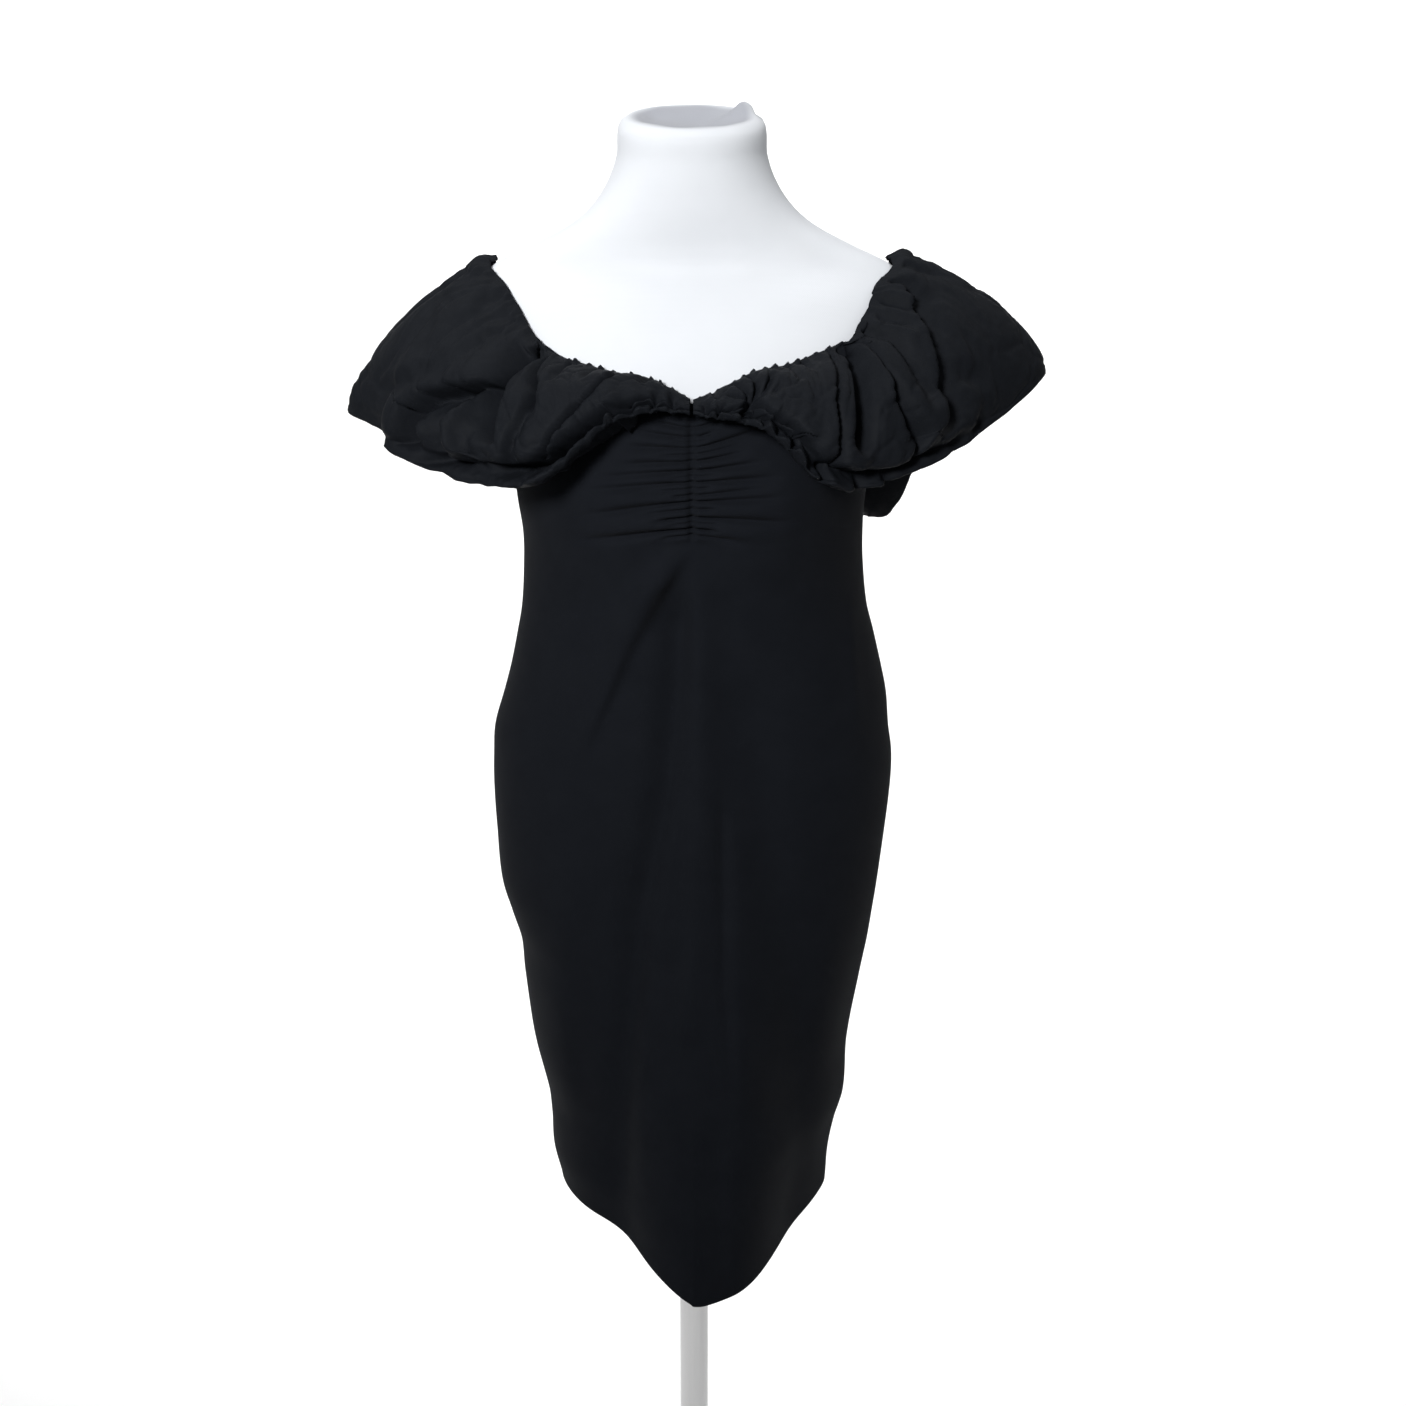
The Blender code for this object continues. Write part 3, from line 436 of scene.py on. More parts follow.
def knit(name, colour, lighter, roughness, sheen, pitch, lift):
    """A fine stretch knit: rows of small V stitches in the cloth's own map, a faint mottle and a soft nap."""
    made = bpy.data.materials.new(name)
    nodes, links, shader = nodes_of(made)
    shader.inputs["Roughness"].default_value = roughness
    shader.inputs["Sheen Weight"].default_value = sheen
    shader.inputs["Sheen Roughness"].default_value = 0.45
    shader.inputs["Specular IOR Level"].default_value = 0.012
    chart = nodes.new("ShaderNodeUVMap")
    chart.uv_map = "cut"
    split = nodes.new("ShaderNodeSeparateXYZ")
    links.new(chart.outputs["UV"], split.inputs[0])

    def maths(operation, first, second=None):
        step = nodes.new("ShaderNodeMath")
        step.operation = operation
        for socket, value in zip(step.inputs, (first, second)):
            if isinstance(value, (int, float)):
                socket.default_value = value
            elif value is not None:
                links.new(value, socket)
        return step.outputs[0]

    wale = maths("ABSOLUTE", maths("SINE", maths("MULTIPLY", split.outputs[0], math.pi / pitch)))
    slant = maths("MULTIPLY", wale, 1.6)
    course = maths("MULTIPLY", split.outputs[1], 2.0 * math.pi / (pitch * 0.8))
    loop = maths("SINE", maths("ADD", course, slant))
    stitch = maths("ADD", maths("MULTIPLY", wale, 0.7), maths("MULTIPLY", loop, 0.3))
    links.new(relief(nodes, links, stitch, 0.5, lift).outputs["Normal"], shader.inputs["Normal"])
    clouds = mottle(nodes, links, 38.0, 5.0)
    share = maths("ADD", maths("MULTIPLY", clouds, 0.6), maths("MULTIPLY", stitch, 0.4))
    links.new(two_shades(nodes, links, share, colour, lighter), shader.inputs["Base Color"])
    return made


jersey = knit(
    "black_jersey", (0.0058, 0.0067, 0.0089, 1.0), (0.0098, 0.0111, 0.0142, 1.0),
    roughness=0.78, sheen=0.02, pitch=0.0009, lift=0.00012,
)
dress_front.data.materials.append(jersey)
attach(dress_front, "root")
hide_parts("dress_front")


# The dress back
# One piece of the same jersey, sewn to the front at both sides. It is close over the seat and falls in a
# few long soft folds to the hem.

BACK_FLAT = (0.46, 0.80)
BACK_TOP = (
    (90.0, 1.1950),
    (103.0, 1.2080),
    (118.0, 1.2540),
    (130.0, 1.2940),
    (143.2, 1.3060),
    (160.4, 1.2850),
    (172.3, 1.2770),
    (180.0, 1.2750),
)
back_top_at = reader(EDGE_COLUMNS, BACK_TOP)
BACK_MIDDLE, BACK_HEM = back_top_at("height", 180.0), hem_at("left", 180.0)
BACK_LENGTH = BACK_MIDDLE - BACK_HEM


def back_place(angle, drop):
    """Where the back's cloth lies, by the angle from the centre front and the drop below its top edge."""
    folded = min(angle, 360.0 - angle)
    top, hem = back_top_at("height", folded), hem_at("left", folded)
    height = panel_height(drop, top, hem, BACK_MIDDLE, BACK_HEM, BACK_LENGTH)
    spot = folded_dress_point(angle, height, hem)
    spot.x -= math.copysign(SIDE_SEAM["nip"] * bell(folded - 90.0, SIDE_SEAM["width"]), spot.x)
    spot.y = max(spot.y, 0.0001)
    return spot


back_angles = spread((90.0, 92.0, 268.0, 270.0), (3, 96, 3))
back_drops = spread((0.0, BACK_LENGTH), (180,))
dress_back = sheet_of_cloth("jersey_back", back_angles, back_drops, back_place, BACK_FLAT, JERSEY_WALL)
dress_back.data.materials.append(jersey)
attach(dress_back, "root")
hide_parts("dress_back")


# The ruffle
# A strip of crisp black plain-woven cloth in two halves, gathered on to the neckline and turned under at
# its lower edge, so that it stands out in a puff. The halves meet at the centre front and back, and cap
# the shoulders.

RUFFLE_WALL = 0.0010
RUFFLE_FLAT = (0.86, 0.20)
RUFFLE_COLUMNS, RUFFLE_ROWS = (210, 110), 100
PUCKER_COUNT = 46
# Stations run from the centre front at 0 over the shoulder at 1 to the centre back at 2. Each has the
# ruffle's seam on the neckline, its outer edge, how far it puffs out, and how much of the banded section
# it has.
STATION_COLUMNS = ("station", "neck_angle", "neck_z", "edge_out", "edge_y", "edge_z", "puff", "band")
LEFT_STATIONS = (
    (0.00, 0.25, 1.2480, 0.0014, -0.1330, 1.2440, 0.005, 1.0),
    (0.12, 6.90, 1.2620, 0.0290, -0.1410, 1.2500, 0.010, 1.0),
    (0.25, 15.9, 1.2680, 0.0640, -0.1510, 1.2430, 0.016, 1.0),
    (0.40, 25.5, 1.2750, 0.0930, -0.1600, 1.2200, 0.021, 1.0),
    (0.52, 34.1, 1.2820, 0.1240, -0.1580, 1.1940, 0.027, 0.9),
    (0.64, 40.1, 1.2980, 0.1600, -0.1390, 1.1860, 0.029, 0.8),
    (0.76, 47.0, 1.3190, 0.2060, -0.1060, 1.1900, 0.029, 0.5),
    (0.88, 60.0, 1.3370, 0.2560, -0.0680, 1.2060, 0.026, 0.2),
    (1.00, 90.0, 1.3490, 0.2960, -0.0040, 1.2240, 0.021, 0.0),
    (1.14, 103.0, 1.3455, 0.2900, 0.0500, 1.2150, 0.022, 0.0),
    (1.30, 125.8, 1.3310, 0.2480, 0.0980, 1.1820, 0.027, 0.2),
    (1.50, 143.2, 1.3050, 0.1880, 0.1320, 1.1350, 0.030, 0.4),
    (1.70, 160.4, 1.2840, 0.1200, 0.1540, 1.1300, 0.028, 0.4),
    (1.87, 172.3, 1.2760, 0.0520, 0.1560, 1.1400, 0.026, 0.4),
    (2.00, 179.75, 1.2740, 0.0013, 0.1540, 1.1460, 0.024, 0.4),
)
RIGHT_STATIONS = (
    (0.00, 0.25, 1.2480, 0.0014, -0.1330, 1.2440, 0.005, 0.9),
    (0.12, 6.40, 1.2570, 0.0240, -0.1410, 1.2430, 0.011, 1.0),
    (0.25, 13.9, 1.2700, 0.0500, -0.1510, 1.2400, 0.017, 1.0),
    (0.38, 22.1, 1.2745, 0.0760, -0.1610, 1.2270, 0.021, 1.0),
    (0.50, 29.9, 1.2825, 0.1040, -0.1600, 1.1960, 0.027, 0.8),
    (0.62, 38.3, 1.2920, 0.1430, -0.1360, 1.1830, 0.030, 0.6),
    (0.74, 44.9, 1.3100, 0.1950, -0.1000, 1.1970, 0.030, 0.3),
    (0.87, 56.0, 1.3350, 0.2560, -0.0500, 1.2230, 0.027, 0.1),
    (1.00, 90.0, 1.3495, 0.3030, 0.0060, 1.2560, 0.023, 0.0),
    (1.14, 103.0, 1.3455, 0.2920, 0.0560, 1.2380, 0.024, 0.0),
    (1.30, 125.8, 1.3310, 0.2420, 0.0980, 1.1780, 0.028, 0.2),
    (1.40, 134.5, 1.3180, 0.2080, 0.1060, 1.1520, 0.029, 0.3),
    (1.45, 138.8, 1.3110, 0.1920, 0.1120, 1.1210, 0.030, 0.4),
    (1.50, 143.2, 1.3050, 0.1760, 0.1180, 1.1060, 0.030, 0.4),
    (1.70, 160.4, 1.2840, 0.1180, 0.1500, 1.1220, 0.028, 0.4),
    (1.87, 172.3, 1.2760, 0.0520, 0.1560, 1.1400, 0.026, 0.4),
    (2.00, 179.75, 1.2740, 0.0013, 0.1540, 1.1460, 0.024, 0.4),
)
# The ruffle's section, in shares of its chord and its puff: from the neckline at step 0 over the crown and
# round the edge to its turned-under hem at step 10. The banded one is pinched above its edge.
PUFF_COLUMNS = ("step", "along", "out", "band_along", "band_out")
PUFF_SECTION = (
    (0.0, 0.00, 0.00, 0.00, 0.00),
    (1.0, 0.06, 0.40, 0.09, 0.34),
    (2.0, 0.20, 0.80, 0.25, 0.80),
    (3.0, 0.42, 1.00, 0.44, 1.02),
    (4.0, 0.62, 0.98, 0.63, 0.92),
    (5.0, 0.80, 0.72, 0.79, 0.68),
    (6.0, 0.93, 0.36, 0.86, 0.30),
    (6.6, 0.98, 0.06, 0.82, -0.22),
    (7.2, 1.00, -0.14, 0.93, -0.04),
    (8.0, 0.97, -0.44, 1.00, 0.02),
    (9.0, 0.87, -0.66, 0.95, -0.40),
    (10.0, 0.72, -0.74, 0.76, -0.64),
)
CROWN_STEP = 7.0
STEPS_PER_STATION = 20.0
# The folds: each runs along a path of places on the ruffle, given by station and step. "near" and "far"
# are the widths, in steps, of its flanks towards and away from the centre front, for a path that runs
# down. Where it has a lap, the far flank lies over the near one by so much, or under it if the lap is
# negative. A negative depth is a ridge.
FOLD_PATH_COLUMNS = ("path", "depth", "near", "far", "lap")
LEFT_FOLDS = (
    (((0.610, 0.0), (0.630, 1.6), (0.650, 2.7), (0.690, 3.1), (0.750, 3.5), (0.810, 4.1), (0.845, 4.8),
      (0.858, 6.4)), 0.0150, 0.90, 0.30, 0.0100),
    (((0.625, 1.2), (0.622, 2.6), (0.615, 3.3), (0.625, 4.8)), 0.0230, 0.22, 0.55, 0.0),
    (((0.705, 3.3), (0.712, 4.0), (0.730, 4.8), (0.760, 6.2)), 0.0190, 0.22, 0.45, 0.0),
    (((0.675, 3.0), (0.695, 4.0), (0.705, 4.8), (0.700, 6.0), (0.650, 6.8)), -0.0085, 0.30, 0.20, 0.0),
    (((0.780, 4.3), (0.800, 5.0), (0.790, 5.8)), -0.0040, 0.35, 0.35, 0.0),
    (((0.810, 7.3), (0.770, 6.7), (0.710, 6.4)), 0.0070, 0.30, 0.34, 0.0),
    (((0.530, 0.8), (0.512, 2.2), (0.495, 2.8), (0.500, 3.5)), 0.0080, 0.20, 0.34, 0.0),
    (((0.500, 3.0), (0.535, 3.9), (0.570, 4.6), (0.630, 6.8)), 0.0045, 0.60, 0.20, 0.0025),
    (((0.235, 2.4), (0.305, 3.9), (0.380, 4.5), (0.445, 5.1), (0.510, 6.0)), 0.0150, 0.18, 0.50, 0.0045),
    (((0.200, 6.4), (0.290, 6.7), (0.380, 6.8), (0.470, 6.8), (0.540, 6.8)), 0.0120, 0.34, 0.55, 0.0),
    (((0.500, 6.8), (0.660, 6.8)), 0.0050, 0.34, 0.40, 0.0),
    (((0.140, 5.2), (0.200, 5.6), (0.250, 5.4)), 0.0050, 0.40, 0.30, 0.0030),
    (((0.815, 0.0), (0.822, 1.6)), 0.0036, 0.35, 0.30, 0.0),
    (((0.790, 1.0), (0.812, 2.4)), 0.0022, 0.35, 0.30, 0.0),
    (((0.695, 0.6), (0.765, 1.5)), 0.0030, 0.30, 0.25, 0.0),
    (((0.705, 1.3), (0.730, 1.9), (0.775, 3.0), (0.835, 3.6), (0.875, 4.2), (0.925, 4.9)),
     0.0028, 0.45, 0.25, 0.0012),
    (((0.905, 3.6), (0.912, 2.8), (0.935, 2.2)), 0.0020, 0.35, 0.35, 0.0),
    (((0.955, 1.2), (0.975, 2.8)), 0.0024, 0.35, 0.30, 0.0),
    (((0.870, -0.5), (0.930, 1.5)), 0.0030, 0.40, 0.35, 0.0),
    (((0.060, -0.5), (0.095, 2.8)), 0.0030, 0.26, 0.26, 0.0),
    (((0.105, -0.5), (0.160, 3.4)), 0.0036, 0.28, 0.24, 0.0),
    (((0.180, -0.5), (0.240, 2.2)), 0.0030, 0.26, 0.24, 0.0),
    (((0.300, -0.5), (0.345, 2.6)), 0.0036, 0.32, 0.26, 0.0),
    (((0.420, -0.5), (0.455, 2.4)), 0.0040, 0.36, 0.28, 0.0),
    (((0.560, -0.5), (0.575, 2.2)), 0.0036, 0.30, 0.26, 0.0),
    (((0.600, 0.4), (0.618, 1.6), (0.638, 2.7)), 0.0080, 0.36, 0.20, 0.0030),
    (((0.060, 4.2), (0.072, 8.8)), 0.0042, 0.38, 0.26, 0.0),
    (((0.128, 4.8), (0.150, 8.8)), 0.0054, 0.44, 0.28, 0.0024),
    (((0.206, 6.2), (0.192, 8.8)), 0.0036, 0.30, 0.42, 0.0),
    (((0.262, 5.6), (0.252, 7.2), (0.256, 8.8)), 0.0060, 0.46, 0.30, 0.0030),
    (((0.430, 7.0), (0.445, 8.6)), 0.0035, 0.30, 0.30, 0.0),
    (((0.300, 7.0), (0.290, 8.6)), 0.0030, 0.26, 0.26, 0.0),
    (((0.570, 7.0), (0.590, 8.4)), 0.0040, 0.34, 0.30, 0.0),
    (((1.070, -0.5), (1.075, 3.0), (1.060, 6.8)), 0.0065, 0.60, 0.50, 0.0),
    (((1.130, -0.5), (1.120, 2.4)), 0.0035, 0.35, 0.30, 0.0),
    (((1.210, -0.5), (1.205, 3.0), (1.180, 6.8)), 0.0100, 0.60, 0.35, 0.0030),
    (((1.275, -0.5), (1.265, 3.2)), 0.0045, 0.40, 0.32, 0.0),
    (((1.345, -0.5), (1.350, 3.4), (1.320, 6.8)), 0.0115, 0.55, 0.60, 0.0),
    (((1.405, -0.5), (1.400, 2.6)), 0.0040, 0.36, 0.30, 0.0),
    (((1.475, -0.5), (1.455, 3.6), (1.465, 6.8)), 0.0100, 0.60, 0.40, -0.0030),
    (((1.540, -0.5), (1.540, 3.4)), 0.0045, 0.38, 0.32, 0.0),
    (((1.600, -0.5), (1.622, 3.2), (1.610, 6.8)), 0.0120, 0.60, 0.50, 0.0),
    (((1.670, -0.5), (1.680, 2.4)), 0.0040, 0.34, 0.30, 0.0),
    (((1.735, -0.5), (1.740, 3.6), (1.755, 6.8)), 0.0105, 0.60, 0.40, 0.0030),
    (((1.800, -0.5), (1.810, 3.2)), 0.0045, 0.36, 0.30, 0.0),
    (((1.860, -0.5), (1.880, 3.4), (1.870, 6.8)), 0.0090, 0.50, 0.50, 0.0),
    (((1.930, -0.5), (1.940, 4.2)), 0.0050, 0.40, 0.34, 0.0),
)
RIGHT_FOLDS = (
    (((0.852, 0.9), (0.820, 1.6), (0.780, 2.3), (0.755, 3.1), (0.742, 3.9), (0.745, 5.4)),
     0.0250, 0.40, 0.85, -0.0085),
    (((0.595, 0.0), (0.650, 0.6), (0.660, 1.2), (0.655, 2.2), (0.665, 2.9), (0.675, 3.6), (0.688, 4.3),
      (0.712, 5.2), (0.712, 6.2)), 0.0140, 0.32, 0.28, 0.0055),
    (((0.640, 0.5), (0.635, 1.5), (0.632, 2.2), (0.632, 3.4)), -0.0035, 0.22, 0.22, 0.0),
    (((0.595, 0.2), (0.608, 1.4), (0.592, 2.3), (0.580, 3.2), (0.582, 4.8)), 0.0280, 0.46, 0.22, 0.0),
    (((0.690, 0.6), (0.716, 1.8), (0.712, 3.0), (0.722, 4.2)), 0.0060, 0.26, 0.34, 0.0),
    (((0.690, 6.4), (0.740, 6.2), (0.770, 6.6)), 0.0060, 0.30, 0.30, 0.0),
    (((0.530, 0.0), (0.492, 1.8), (0.472, 3.4), (0.490, 4.4), (0.520, 6.2)), 0.0140, 0.22, 0.34, -0.0040),
    (((0.515, 5.8), (0.560, 5.9), (0.610, 6.0), (0.660, 6.0), (0.715, 6.2)), 0.0110, 0.44, 0.26, 0.0050),
    (((0.245, 4.8), (0.300, 5.4), (0.350, 5.6), (0.415, 5.7), (0.440, 6.9)), 0.0095, 0.34, 0.30, 0.0040),
    (((0.300, 6.2), (0.360, 6.3), (0.410, 6.6)), 0.0045, 0.26, 0.26, 0.0),
    (((0.205, 1.6), (0.232, 3.2), (0.240, 4.8)), 0.0060, 0.22, 0.24, 0.0),
    (((0.150, 2.4), (0.185, 3.6), (0.232, 4.9)), 0.0050, 0.22, 0.20, 0.0),
    (((0.130, 4.0), (0.175, 4.5), (0.232, 5.0)), 0.0050, 0.22, 0.20, 0.0),
    (((0.150, 6.2), (0.190, 5.6), (0.236, 5.1)), 0.0050, 0.22, 0.22, 0.0),
    (((0.205, 7.6), (0.208, 6.2), (0.238, 5.2)), 0.0060, 0.22, 0.22, 0.0),
    (((0.270, 7.2), (0.262, 6.2), (0.242, 5.2)), 0.0045, 0.22, 0.22, 0.0),
    (((0.285, 2.6), (0.268, 3.8), (0.245, 4.8)), 0.0045, 0.24, 0.22, 0.0),
    (((0.320, 3.4), (0.285, 4.2)), 0.0030, 0.26, 0.24, 0.0),
    (((0.060, -0.5), (0.100, 4.4)), 0.0040, 0.26, 0.22, 0.0),
    (((0.300, -0.5), (0.320, 2.2)), 0.0036, 0.26, 0.24, 0.0),
    (((0.360, -0.5), (0.380, 2.8)), 0.0040, 0.32, 0.26, 0.0),
    (((0.440, -0.5), (0.435, 1.8)), 0.0032, 0.28, 0.24, 0.0),
    (((0.790, 0.4), (0.792, 1.9)), 0.0050, 0.26, 0.22, 0.0),
    (((0.750, 0.8), (0.762, 2.0)), 0.0048, 0.26, 0.22, 0.0),
    (((0.712, 0.5), (0.728, 1.6), (0.722, 2.6)), 0.0070, 0.30, 0.24, 0.0020),
    (((0.800, 3.7), (0.830, 4.4), (0.862, 4.9)), 0.0030, 0.30, 0.25, 0.0),
    (((0.842, 5.8), (0.846, 7.0)), 0.0038, 0.35, 0.25, 0.0),
    (((0.790, 6.2), (0.805, 7.2)), 0.0036, 0.35, 0.30, 0.0),
    (((0.920, -0.5), (0.965, 2.4)), 0.0036, 0.40, 0.34, 0.0),
    (((0.975, -0.5), (0.990, 1.4)), 0.0026, 0.30, 0.26, 0.0),
    (((0.052, 4.6), (0.066, 8.8)), 0.0042, 0.34, 0.26, 0.0),
    (((0.128, 5.4), (0.112, 8.8)), 0.0050, 0.40, 0.26, 0.0022),
    (((0.312, 6.4), (0.296, 8.8)), 0.0050, 0.44, 0.30, 0.0024),
    (((0.430, 6.0), (0.422, 7.4), (0.404, 8.8)), 0.0070, 0.36, 0.26, 0.0032),
    (((0.508, 6.2), (0.520, 7.4), (0.512, 8.8)), 0.0070, 0.30, 0.36, 0.0030),
    (((0.600, 7.0), (0.620, 8.4)), 0.0045, 0.34, 0.30, 0.0),
    (((0.668, 6.6), (0.676, 8.6)), 0.0050, 0.26, 0.22, 0.0),
    (((0.480, 6.8), (0.470, 8.4)), 0.0050, 0.30, 0.28, 0.0),
    (((0.360, 7.0), (0.350, 8.4)), 0.0045, 0.28, 0.26, 0.0),
    (((1.080, -0.5), (1.085, 3.0), (1.070, 6.8)), 0.0070, 0.60, 0.55, 0.0),
    (((1.150, -0.5), (1.145, 2.8)), 0.0040, 0.36, 0.30, 0.0),
    (((1.220, -0.5), (1.200, 3.4), (1.200, 6.8)), 0.0100, 0.55, 0.45, 0.0030),
    (((1.290, -0.5), (1.280, 3.0)), 0.0045, 0.38, 0.32, 0.0),
    (((1.360, -0.5), (1.365, 3.2), (1.340, 6.8)), 0.0095, 0.60, 0.45, 0.0),
    (((1.425, -0.5), (1.420, 2.6)), 0.0040, 0.34, 0.30, 0.0),
    (((1.490, -0.5), (1.480, 3.4), (1.490, 6.8)), 0.0105, 0.50, 0.55, -0.0030),
    (((1.555, -0.5), (1.560, 3.4)), 0.0045, 0.38, 0.32, 0.0),
    (((1.620, -0.5), (1.645, 3.4), (1.635, 6.8)), 0.0120, 0.60, 0.50, 0.0),
    (((1.690, -0.5), (1.700, 2.4)), 0.0040, 0.34, 0.30, 0.0),
    (((1.750, -0.5), (1.750, 3.4), (1.765, 6.8)), 0.0100, 0.55, 0.45, 0.0030),
    (((1.815, -0.5), (1.825, 3.0)), 0.0045, 0.36, 0.30, 0.0),
    (((1.870, -0.5), (1.885, 3.4), (1.880, 6.8)), 0.0085, 0.50, 0.50, 0.0),
    (((1.940, -0.5), (1.945, 4.0)), 0.0050, 0.38, 0.34, 0.0),
)
WAVE_COLUMNS = ("per_station", "shift", "rise")
EDGE_WAVES = ((6.5, 3.30, 0.0075), (15.0, 7.75, 0.0044), (38.0, 5.40, 0.0020))
LEFT_LEDGE = {"from": 0.880, "to": 1.01, "rise": 0.0090, "start": 0.02, "end": 0.08}
CRUMPLE = {"per_station": 17.0, "per_step": 0.62, "swell": 0.0020, "crease": 0.0022, "fine": 0.0008}
CAP_LIFT = {"out": 0.28, "stations": 0.10, "step": 0.8, "steps": 0.6}
BACK_FOLD_WANDER = 1.1
FOLD_DEPTH = {"front": 1.8, "back": 1.25}
BODY_CLEARANCE = 0.0013
puff_at = reader(PUFF_COLUMNS, PUFF_SECTION)


def fold_paths(rows):
    """Each fold with the straight stretches of its path, on a plan that is measured in steps both ways."""
    folds = []
    for row in rows:
        fold = dict(zip(FOLD_PATH_COLUMNS, row))
        spots = [(station * STEPS_PER_STATION, step) for station, step in fold["path"]]
        done, parts = 0.0, []
        for (x0, y0), (x1, y1) in zip(spots, spots[1:]):
            long = math.hypot(x1 - x0, y1 - y0)
            parts.append((x0, y0, (x1 - x0) / long, (y1 - y0) / long, long, done))
            done += long
        reach = 2.6 * max(fold["near"], fold["far"])
        box = [f(values) + sign * reach for f, sign in ((min, -1), (max, 1)) for values in zip(*spots)]
        folds.append((box, parts, done, fold))
    return folds


def folded(folds, station, step):
    """How far the folds sink at this place, and how far their laps slide over, across and down the plan."""
    u, v = station * STEPS_PER_STATION, step
    wander = noise.noise(Vector((u * 0.30, v * 0.40, 3.0)))
    wander += 0.5 * noise.noise(Vector((u * 0.8, v * 0.9, 5.0)))
    u += BACK_FOLD_WANDER * wander * smooth((station - 1.0) / 0.12)
    sink, slide_u, slide_v = 0.0, 0.0, 0.0
    for (low_u, low_v, high_u, high_v), parts, total, fold in folds:
        if not (low_u < u < high_u and low_v < v < high_v):
            continue
        best = None
        for x, y, dx, dy, long, done in parts:
            run = (u - x) * dx + (v - y) * dy
            held = min(max(run, 0.0), long)
            away = math.hypot(u - x - dx * held, v - y - dy * held)
            if best is None or away < best[0]:
                aside = dx * (v - y) - dy * (u - x)
                best = (away, math.copysign(away, aside), done + run, dx, dy)
        away, aside, run, dx, dy = best
        ends = smooth((run + 0.5) / 1.1) * smooth((total - run + 0.5) / 1.1)
        lap = fold["lap"]
        if not lap:
            sink += fold["depth"] * ends * bell(aside, fold["near"] if aside > 0 else fold["far"])
            continue
        under = aside if lap > 0 else -aside
        low_width, top_width = (fold["near"], fold["far"]) if lap > 0 else (fold["far"], fold["near"])
        low = smooth(0.5 + under / 0.45)
        sink += fold["depth"] * ends * low * bell(max(under, 0.0), low_width)
        top = (1.0 - low) * ends * bell(min(under + 0.15, 0.0), 2.4 * top_width)
        sink -= 0.35 * abs(lap) * top
        slide_u += -dy * lap * top
        slide_v += dx * lap * top
    return sink, slide_u, slide_v


def edge_wave(side, station):
    """How far the ruffle's lower edge swings out or in at this station."""
    total = 0.0
    for row in EDGE_WAVES:
        wave = dict(zip(WAVE_COLUMNS, row))
        spot = Vector((wave["per_station"] * station, wave["shift"] * side, 0.0))
        total += wave["rise"] * noise.noise(spot)
    ends = smooth(station / 0.12) * smooth((2.0 - station) / 0.12)
    total *= ends * (1.0 - bell(station - 1.0, 0.12)) * lerp(1.6, 1.0, smooth(station / 0.5))
    if side < 0:
        start = smooth((station - LEFT_LEDGE["from"]) / LEFT_LEDGE["start"])
        total -= LEFT_LEDGE["rise"] * start * smooth((LEFT_LEDGE["to"] - station) / LEFT_LEDGE["end"])
    return total


def seated(place, gap):
    """The same point, moved out where needed so that it stays this far off the dress and the form."""
    height = min(max(place.z, DRESS_SECTIONS[0][0]), DRESS_SECTIONS[-1][0])
    half = dress_at("right" if place.x >= 0 else "left", height) + gap
    depth = dress_at("front" if place.y < 0 else "back", height) + gap
    if place.y < 0:
        depth += bust_rise(place.x, height)
    fill = (abs(place.x) / half) ** SECTION_POWER + (abs(place.y) / depth) ** SECTION_POWER
    if fill >= 1.0 or fill <= 0.0:
        return place
    grow = fill ** (-1.0 / SECTION_POWER)
    return Vector((place.x * grow, place.y * grow, place.z))


def puckers(count, seed):
    """The small gathers of the neckline seam, no two alike: where each lies, its depth, reach and width."""
    draw = random.Random(seed)
    made = []
    for i in range(count):
        at = (i + draw.uniform(0.2, 0.8)) * 2.0 / count
        made.append((at, draw.uniform(0.0010, 0.0032), draw.uniform(0.5, 2.4), draw.uniform(0.0035, 0.0075)))
    return made


def crumple(station, step):
    """The fine creases of crisp gathered cloth: flat facets between sharp lines, drawn out downwards."""
    spot = Vector((station * CRUMPLE["per_station"], step * CRUMPLE["per_step"], 0.0))
    spot += Vector((noise.noise(spot * 0.9), noise.noise(spot * 0.9 + Vector((7.0, 3.0, 0.0))), 0.0)) * 0.8
    near, next_near = noise.voronoi(spot)[0][:2]
    fine = noise.voronoi(spot * 2.3 + Vector((3.0, 9.0, 0.0)))[0][:2]
    creases = CRUMPLE["crease"] * bell(next_near - near, 0.10)
    creases += CRUMPLE["fine"] * bell(fine[1] - fine[0], 0.14)
    return noise.noise(spot * 0.9) * CRUMPLE["swell"] - creases


